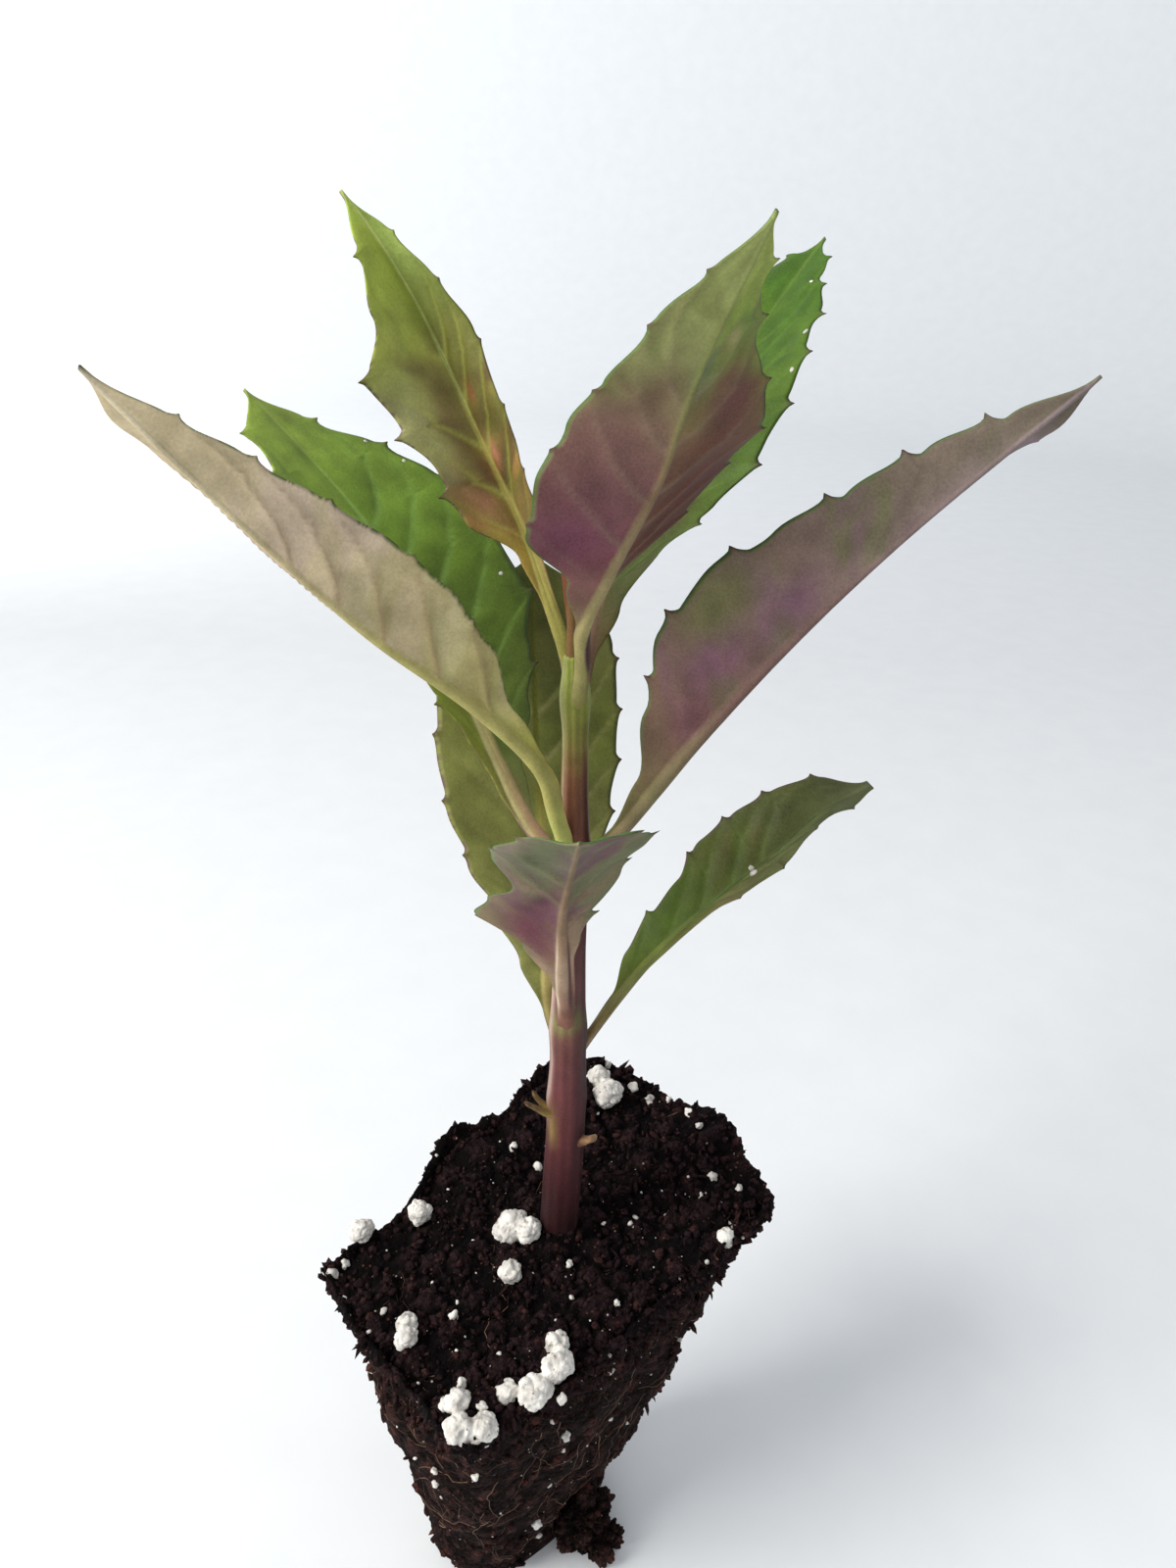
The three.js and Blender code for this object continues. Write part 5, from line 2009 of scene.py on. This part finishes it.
@dataclass
class Litter:
    """Crumbs, flakes, dust and rootlets laid on the finished block."""

    block: Object
    tree: BVHTree = field(init=False)
    centres: Array = field(init=False)
    normals: Array = field(init=False)
    weights: Array = field(init=False)
    heights: Array = field(init=False)

    BARE_FOOT = 2.0  # nothing lies on the block below this height, in millimetres
    SOIL_RELIEF = 0.4  # bits are coloured as crumbs of this height
    ROOTS = 120
    ROOT_STEPS = (7, 26)
    ROOT_STEP = 1.1
    ROOT_TURN = 0.35
    ROOT_LIFT = 0.05
    ROOT_RADII = (0.03, 0.09)
    ROOT_FOOT = 1.5

    def __post_init__(self) -> None:
        """Reads the block's faces."""
        self.tree = surface([self.block])
        faces = self.block.data.polygons
        self.centres = vectors(faces, "center")
        self.normals = vectors(faces, "normal")
        areas = np.zeros(len(faces))
        faces.foreach_get("area", areas)
        self.weights = areas * (self.centres[:, 2] > self.BARE_FOOT * MM)
        self.heights = self.centres[:, 2] / MM

    def pick(self, total: int, favour: Array, rng: np.random.Generator) -> Array:
        """Numbers of randomly chosen faces, by their areas times how much each is favoured."""
        chance = self.weights * favour
        return rng.choice(len(chance), size=total, p=chance / chance.sum())

    def strew(self, kind: Strewing, material: Material) -> Object:
        """Strews one kind of bit over the block.

        Args:
            kind: what is strewn and where.
            material: its material.

        Returns:
            The object.
        """
        rng = np.random.default_rng(kind.seed)
        extra = smoothstep(self.heights, *kind.heights)
        if kind.on_rim:
            extra = extra * smoothstep(1.0 - np.abs(self.normals[:, 2]), 0.2, 0.7)
        chosen = self.pick(kind.total, kind.favour[0] + kind.favour[1] * extra, rng)
        smallest, reach, power = kind.sizes
        sizes = smallest + reach * rng.random(kind.total) ** power
        relief = np.full(kind.total, self.SOIL_RELIEF)
        colours = soil_paint(self.heights[chosen], relief, rng.random(kind.total))
        spots = []
        for i, size, colour in zip(chosen, sizes, colours):
            place = self.centres[i] + self.normals[i] * size * kind.rise * MM
            spots.append(Spot(Vector(place), Vector(self.normals[i]), size, tuple(colour)))
        return kind.bits.build(spots, kind.slot, material)

    def roots(self, material: Material) -> Object:
        """Fine roots that run over the block's sides.

        Args:
            material: the roots' material.

        Returns:
            The object.
        """
        rng = np.random.default_rng(SEED + 5)
        chosen = self.pick(self.ROOTS, 1.0 - 0.85 * smoothstep(self.heights, 54.0, 60.0), rng)
        curve = bpy.data.curves.new("root_strands", "CURVE")
        curve.dimensions = "3D"
        curve.bevel_depth = 1.0
        curve.bevel_resolution = 1
        curve.use_fill_caps = True
        for i in chosen:
            self.root(curve, Vector(self.centres[i]), rng)
        holder = bpy.data.objects.new("root_strands_path", curve)
        mesh = bpy.data.meshes.new_from_object(holder)
        mesh.name = "root_strands"
        bpy.data.objects.remove(holder)
        return piece(mesh, material)

    def root(self, curve: Curve, start: Vector, rng: np.random.Generator) -> None:
        """Adds one root that creeps downwards over the surface, thinner towards its end.

        Args:
            curve: the curve that gets the strand.
            start: a point on the block.
            rng: the random numbers.
        """
        steps = int(rng.integers(*self.ROOT_STEPS))
        heading = Vector(rng.normal(0.0, 0.6, 3)) + Vector((0.0, 0.0, -1.0))
        place = start
        points = []
        for _ in range(steps):
            spot, normal, _, _ = self.tree.find_nearest(place)
            points.append(spot + normal * self.ROOT_LIFT * MM)
            heading = heading + Vector(rng.normal(0.0, self.ROOT_TURN, 3))
            flat = (heading - normal * heading.dot(normal)).normalized()
            place = spot + flat * self.ROOT_STEP * MM
            if place.z < self.ROOT_FOOT * MM:
                break
        spline = curve.splines.new("POLY")
        spline.points.add(len(points) - 1)
        thick = float(rng.uniform(*self.ROOT_RADII)) * MM
        for i, (slot, point) in enumerate(zip(spline.points, points)):
            slot.co = (*point, 1.0)
            slot.radius = thick * (1.0 - 0.6 * i / len(points))


def blister(point: Vector) -> float:
    """Relief of a perlite grain: blisters with sharp creases, and a few sunken pits.

    Args:
        point: a point in millimetres.

    Returns:
        Height in millimetres to add along the surface normal.
    """
    coarse = noise.voronoi(point / 1.7)[0]
    fine = noise.voronoi(point / 0.7 + Vector((9.0, 4.0, 2.0)))[0]
    crease = min(1.0, (coarse[1] - coarse[0]) * 2.0)
    pit = max(0.0, noise.noise(point * 0.75) - 0.25)
    return 0.3 * crease - 0.2 + 0.1 * min(1.0, (fine[1] - fine[0]) * 2.0) - 1.2 * pit


def melted(mesh: Mesh, voxel: float) -> Mesh:
    """Fuses overlapping lumps into one even skin.

    Args:
        mesh: the lumps.
        voxel: size of the skin's faces in metres.

    Returns:
        The new mesh, under the old one's name.
    """
    name = mesh.name
    holder = placed(name + "_raw", mesh)
    remesh = holder.modifiers.new("fuse", "REMESH")
    remesh.mode = "VOXEL"
    remesh.voxel_size = voxel
    graph = bpy.context.evaluated_depsgraph_get()
    fused = bpy.data.meshes.new_from_object(holder.evaluated_get(graph))
    bpy.data.objects.remove(holder)
    bpy.data.meshes.remove(mesh)
    fused.name = name
    return fused


@dataclass(frozen=True)
class Perlite:
    """Larger grains of perlite, half sunk in the soil.

    Each lump has its place across and along the block, its lift over the soil and its three
    sizes, all in millimetres.
    """

    node: str
    lumps: tuple[tuple[float, ...], ...]

    SKIN = 0.14  # size of the skin's faces in millimetres

    def build(self, ball: RootBall, material: Material) -> Object:
        """Builds the grain as knobbly lumps melted into one.

        Args:
            ball: the root ball it sits in.
            material: the perlite's material.

        Returns:
            The object.
        """
        bm = bmesh.new()
        for x, y, lift, *size in self.lumps:
            level = ball.soil_level(np.array([x]), np.array([y]))
            level = level + ball.clod(np.array([[x, y, level[0]]]))
            centre = Vector((x, y, float(level[0]) + lift))
            for vert in bmesh.ops.create_icosphere(bm, subdivisions=5, radius=1.0)["verts"]:
                knob = 1.0 + 0.16 * noise.noise(vert.co * 1.3 + centre)
                knob += 0.05 * noise.noise(vert.co * 3.1 + centre)
                vert.co = centre + Vector(c * knob * s / 2.0 for c, s in zip(vert.co, size))
        for vert in bm.verts:
            vert.co *= MM
        mesh = melted(finished(bm, self.node + "_grain"), self.SKIN * MM)
        points = vectors(mesh.vertices, "co") / MM
        relief = np.array([blister(Vector(point)) for point in points])
        move_to(mesh, points + vectors(mesh.vertices, "normal") * relief[:, None])
        made = piece(mesh, material)
        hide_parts(self.node)
        return made


PERLITE = (
    Perlite("perlite_by_stem", ((-4.8, 4.5, 0.4, 5.8, 4.8, 4.8), (-3.4, 1.7, 0.2, 4.2, 3.6, 3.8))),
    Perlite("perlite_middle", ((-9.4, -1.3, 0.6, 3.6, 3.4, 3.2),)),
    Perlite("perlite_left", ((-25, 2.2, 0.5, 3.2, 3, 3), (-26.4, 0.4, 0.5, 3.6, 3, 3.2))),
    Perlite("perlite_back_left", ((-12.6, 17, 0.3, 4, 3.6, 3.6),)),
    Perlite("perlite_left_edge", ((-21.2, 20, 0.4, 4.2, 3.4, 3.6),)),
    Perlite("perlite_back_corner", ((23.3, 13.7, 0.6, 5.4, 4.8, 5), (24, 17.1, 0.2, 4.4, 3.8, 4.2))),
    Perlite(
        "perlite_front_edge",
        (
            (-12, -14.9, 0.4, 3.6, 3.4, 3.4), (-13.8, -17.4, 0.2, 4.8, 4, 4.4),
            (-18, -17.6, 0, 5, 4.2, 4.4), (-20.6, -15, 0, 3.2, 3, 2.8),
        ),
    ),
    Perlite(
        "perlite_front_corner",
        (
            (-27, -12.6, 0.2, 3.6, 3.4, 3.2), (-28.8, -15.3, -0.8, 4, 4, 4.2),
            (-26.2, -17, -0.6, 4.4, 3.8, 4.2),
        ),
    ),
    Perlite("perlite_right_edge", ((19.2, -17.4, -0.3, 3.2, 2.8, 3),)),
)


# The stage


@dataclass(frozen=True)
class Lamp:
    """A soft square light: its place, side and target in metres, and its power in watts."""

    name: str
    spot: Row
    size: float
    power: float
    colour: Row
    target: Row = (0.0, 0.0, 0.1)

    def build(self) -> None:
        """Adds the light to the scene."""
        data = bpy.data.lights.new(self.name, "AREA")
        data.size = self.size
        data.energy = self.power
        data.color = self.colour
        made = placed(self.name, data)
        made.location = self.spot
        aim = Vector(self.target) - Vector(self.spot)
        made.rotation_euler = aim.to_track_quat("-Z", "Y").to_euler()


@dataclass(frozen=True)
class Studio:
    """Camera at the photo's angle, soft light, and a pale floor that curves up all round."""

    spot: Row = (-89.3, -98.2, 198.0)
    yaw: float = -43.0
    pitch: float = 25.0
    roll: float = 3.0
    focal_pixels: float = 1202.0
    long_side: float = 1600.0
    short_side: float = 1200.0
    sensor: float = 36.0
    nearest: float = 0.005
    floor_radius: float = 1.3
    floor_bend: float = 0.5
    bend_steps: int = 14
    floor_sides: int = 96
    wall_height: float = 1.1
    floor_tones: tuple[Colour, Colour] = ((232, 236, 240), (240, 243, 246))
    sky: Row = (0.97, 0.98, 1.0)
    sky_strength: float = 0.56
    lamps: tuple[Lamp, ...] = (
        Lamp("window", (-0.75, 0.25, 0.6), 0.5, 10.0, (1.0, 0.96, 0.9)),
        Lamp("fill", (-0.42, -0.36, 0.4), 0.4, 0.45, (1.0, 0.98, 0.96)),
        Lamp("backdrop", (-0.25, 0.95, 0.6), 0.6, 9.0, (1.0, 0.98, 0.95), (0.4, 1.75, 0.4)),
    )

    def axes(self) -> tuple[Vector, Vector, Vector]:
        """Where the camera's sides point.

        Returns:
            Its right, up and forward directions.
        """
        yaw, pitch, roll = (math.radians(a) for a in (self.yaw, self.pitch, self.roll))
        forward = Vector(
            (-math.sin(yaw) * math.cos(pitch), math.cos(yaw) * math.cos(pitch), -math.sin(pitch))
        )
        level = Vector((math.cos(yaw), math.sin(yaw), 0.0))
        upright = level.cross(forward)
        right = level * math.cos(roll) + upright * math.sin(roll)
        up = upright * math.cos(roll) - level * math.sin(roll)
        return right, up, forward

    def ray(self, across: float, down: float) -> tuple[Vector, Vector]:
        """The line of sight through a pixel of the photo.

        Args:
            across: pixels from the left.
            down: pixels from the top.

        Returns:
            The camera's place in metres and the unit direction.
        """
        right, up, forward = self.axes()
        x = across - self.short_side / 2.0
        y = self.long_side / 2.0 - down
        aim = forward * self.focal_pixels + right * x + up * y
        return Vector(self.spot) * MM, aim.normalized()

    def camera(self) -> None:
        """Places the camera."""
        right, up, forward = self.axes()
        data = bpy.data.cameras.new("camera")
        data.sensor_fit = "AUTO"
        data.sensor_width = self.sensor
        data.lens = self.sensor * self.focal_pixels / self.long_side
        data.clip_start = self.nearest
        made = placed("camera", data)
        turned = Matrix((right, up, -forward)).transposed().to_4x4()
        made.matrix_world = Matrix.Translation(Vector(self.spot) * MM) @ turned
        bpy.context.scene.camera = made

    def dish(self) -> Mesh:
        """The floor's shape, spun from its profile.

        Returns:
            The mesh.
        """
        rows = [(0.0, 0.0), (self.floor_radius, 0.0)]
        for i in range(1, self.bend_steps + 1):
            angle = math.pi / 2.0 * i / self.bend_steps
            out = self.floor_radius + self.floor_bend * math.sin(angle)
            rows.append((out, self.floor_bend * (1.0 - math.cos(angle))))
        rows.append((self.floor_radius + self.floor_bend, self.wall_height))
        bm = bmesh.new()
        profile = [bm.verts.new((out, 0.0, level)) for out, level in rows]
        edges = [bm.edges.new(pair) for pair in zip(profile, profile[1:])]
        bmesh.ops.spin(
            bm,
            geom=[*profile, *edges],
            cent=(0.0, 0.0, 0.0),
            axis=(0.0, 0.0, 1.0),
            angle=2.0 * math.pi,
            steps=self.floor_sides,
            use_merge=True,
        )
        bmesh.ops.remove_doubles(bm, verts=bm.verts, dist=0.0001)
        bmesh.ops.recalc_face_normals(bm, faces=bm.faces)
        return finished(bm, "floor")

    def floor(self) -> None:
        """Adds the floor, a wide matt dish."""
        mesh = self.dish()
        mesh.polygons.foreach_set("use_smooth", [True] * len(mesh.polygons))
        material, nodes, shader = new_material("pale_floor")
        grain = nodes.noise(nodes.add("TexCoord").outputs["Object"], 60.0, 4.0)
        tone = nodes.mix(grain.outputs[0], *(rgba(colour) for colour in self.floor_tones))
        looks = {"Base Color": tone, "Roughness": 0.9, "Specular IOR Level": 0.1}
        for name, value in looks.items():
            nodes.feed(shader.inputs[name], value)
        mesh.materials.append(material)
        made = placed("floor", mesh)

    def surroundings(self) -> None:
        """Lights everything evenly from all round."""
        world = bpy.data.worlds.new("surroundings")
        world.use_nodes = True
        back = world.node_tree.nodes["Background"]
        back.inputs["Color"].default_value = (*self.sky, 1.0)
        back.inputs["Strength"].default_value = self.sky_strength
        bpy.context.scene.world = world

    def build(self) -> None:
        """Sets the whole stage."""
        self.camera()
        self.floor()
        self.surroundings()
        for lamp in self.lamps:
            lamp.build()
        bpy.context.scene.view_settings.view_transform = "Standard"


def main() -> None:
    """Builds the plant, sets the stage and logs how many vertices each piece has."""
    logging.basicConfig(level=logging.INFO, format="%(name)s %(message)s")
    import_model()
    studio = Studio()
    studio.build()
    groups = Groups()
    leaf_skin = LeafFinish("leaf_skin", specular=0.22).build(groups)
    stem_looks = LeafFinish("stem_skin", specular=0.25, net_strength=0.01, upper_roughness=0.45)
    stem_skin = stem_looks.build(groups)
    peat = SoilFinish("peat", specular=0.06).build(groups)
    grain = PerliteFinish("perlite_grain", specular=0.3).build(groups)
    strand = FibreFinish("root_strand", specular=0.3).build(groups)

    Stem().build(stem_skin)
    for remnant in REMNANTS:
        remnant.build(stem_skin)
    blades = surface([leaf.build(leaf_skin) for leaf in LEAVES])
    specks = seen_spots(studio, blades, LEAF_SPECKS, 0.0)
    SPECKS.build(specks, Slot.GREEN, grain)

    ball = RootBall()
    litter = Litter(ball.build_block(peat))
    ball.build_lumps(peat)
    for each in PERLITE:
        each.build(ball, grain)
    litter.strew(SOIL_CRUMBS, peat)
    litter.strew(PEAT_FLAKES, peat)
    litter.strew(PERLITE_DUST, grain)
    small = seen_spots(studio, litter.tree, SMALL_GRAINS, 0.12)
    SMALL_PERLITE.build(small, Slot.PERLITE, grain)
    litter.roots(strand)


if __name__ == "__main__":
    main()
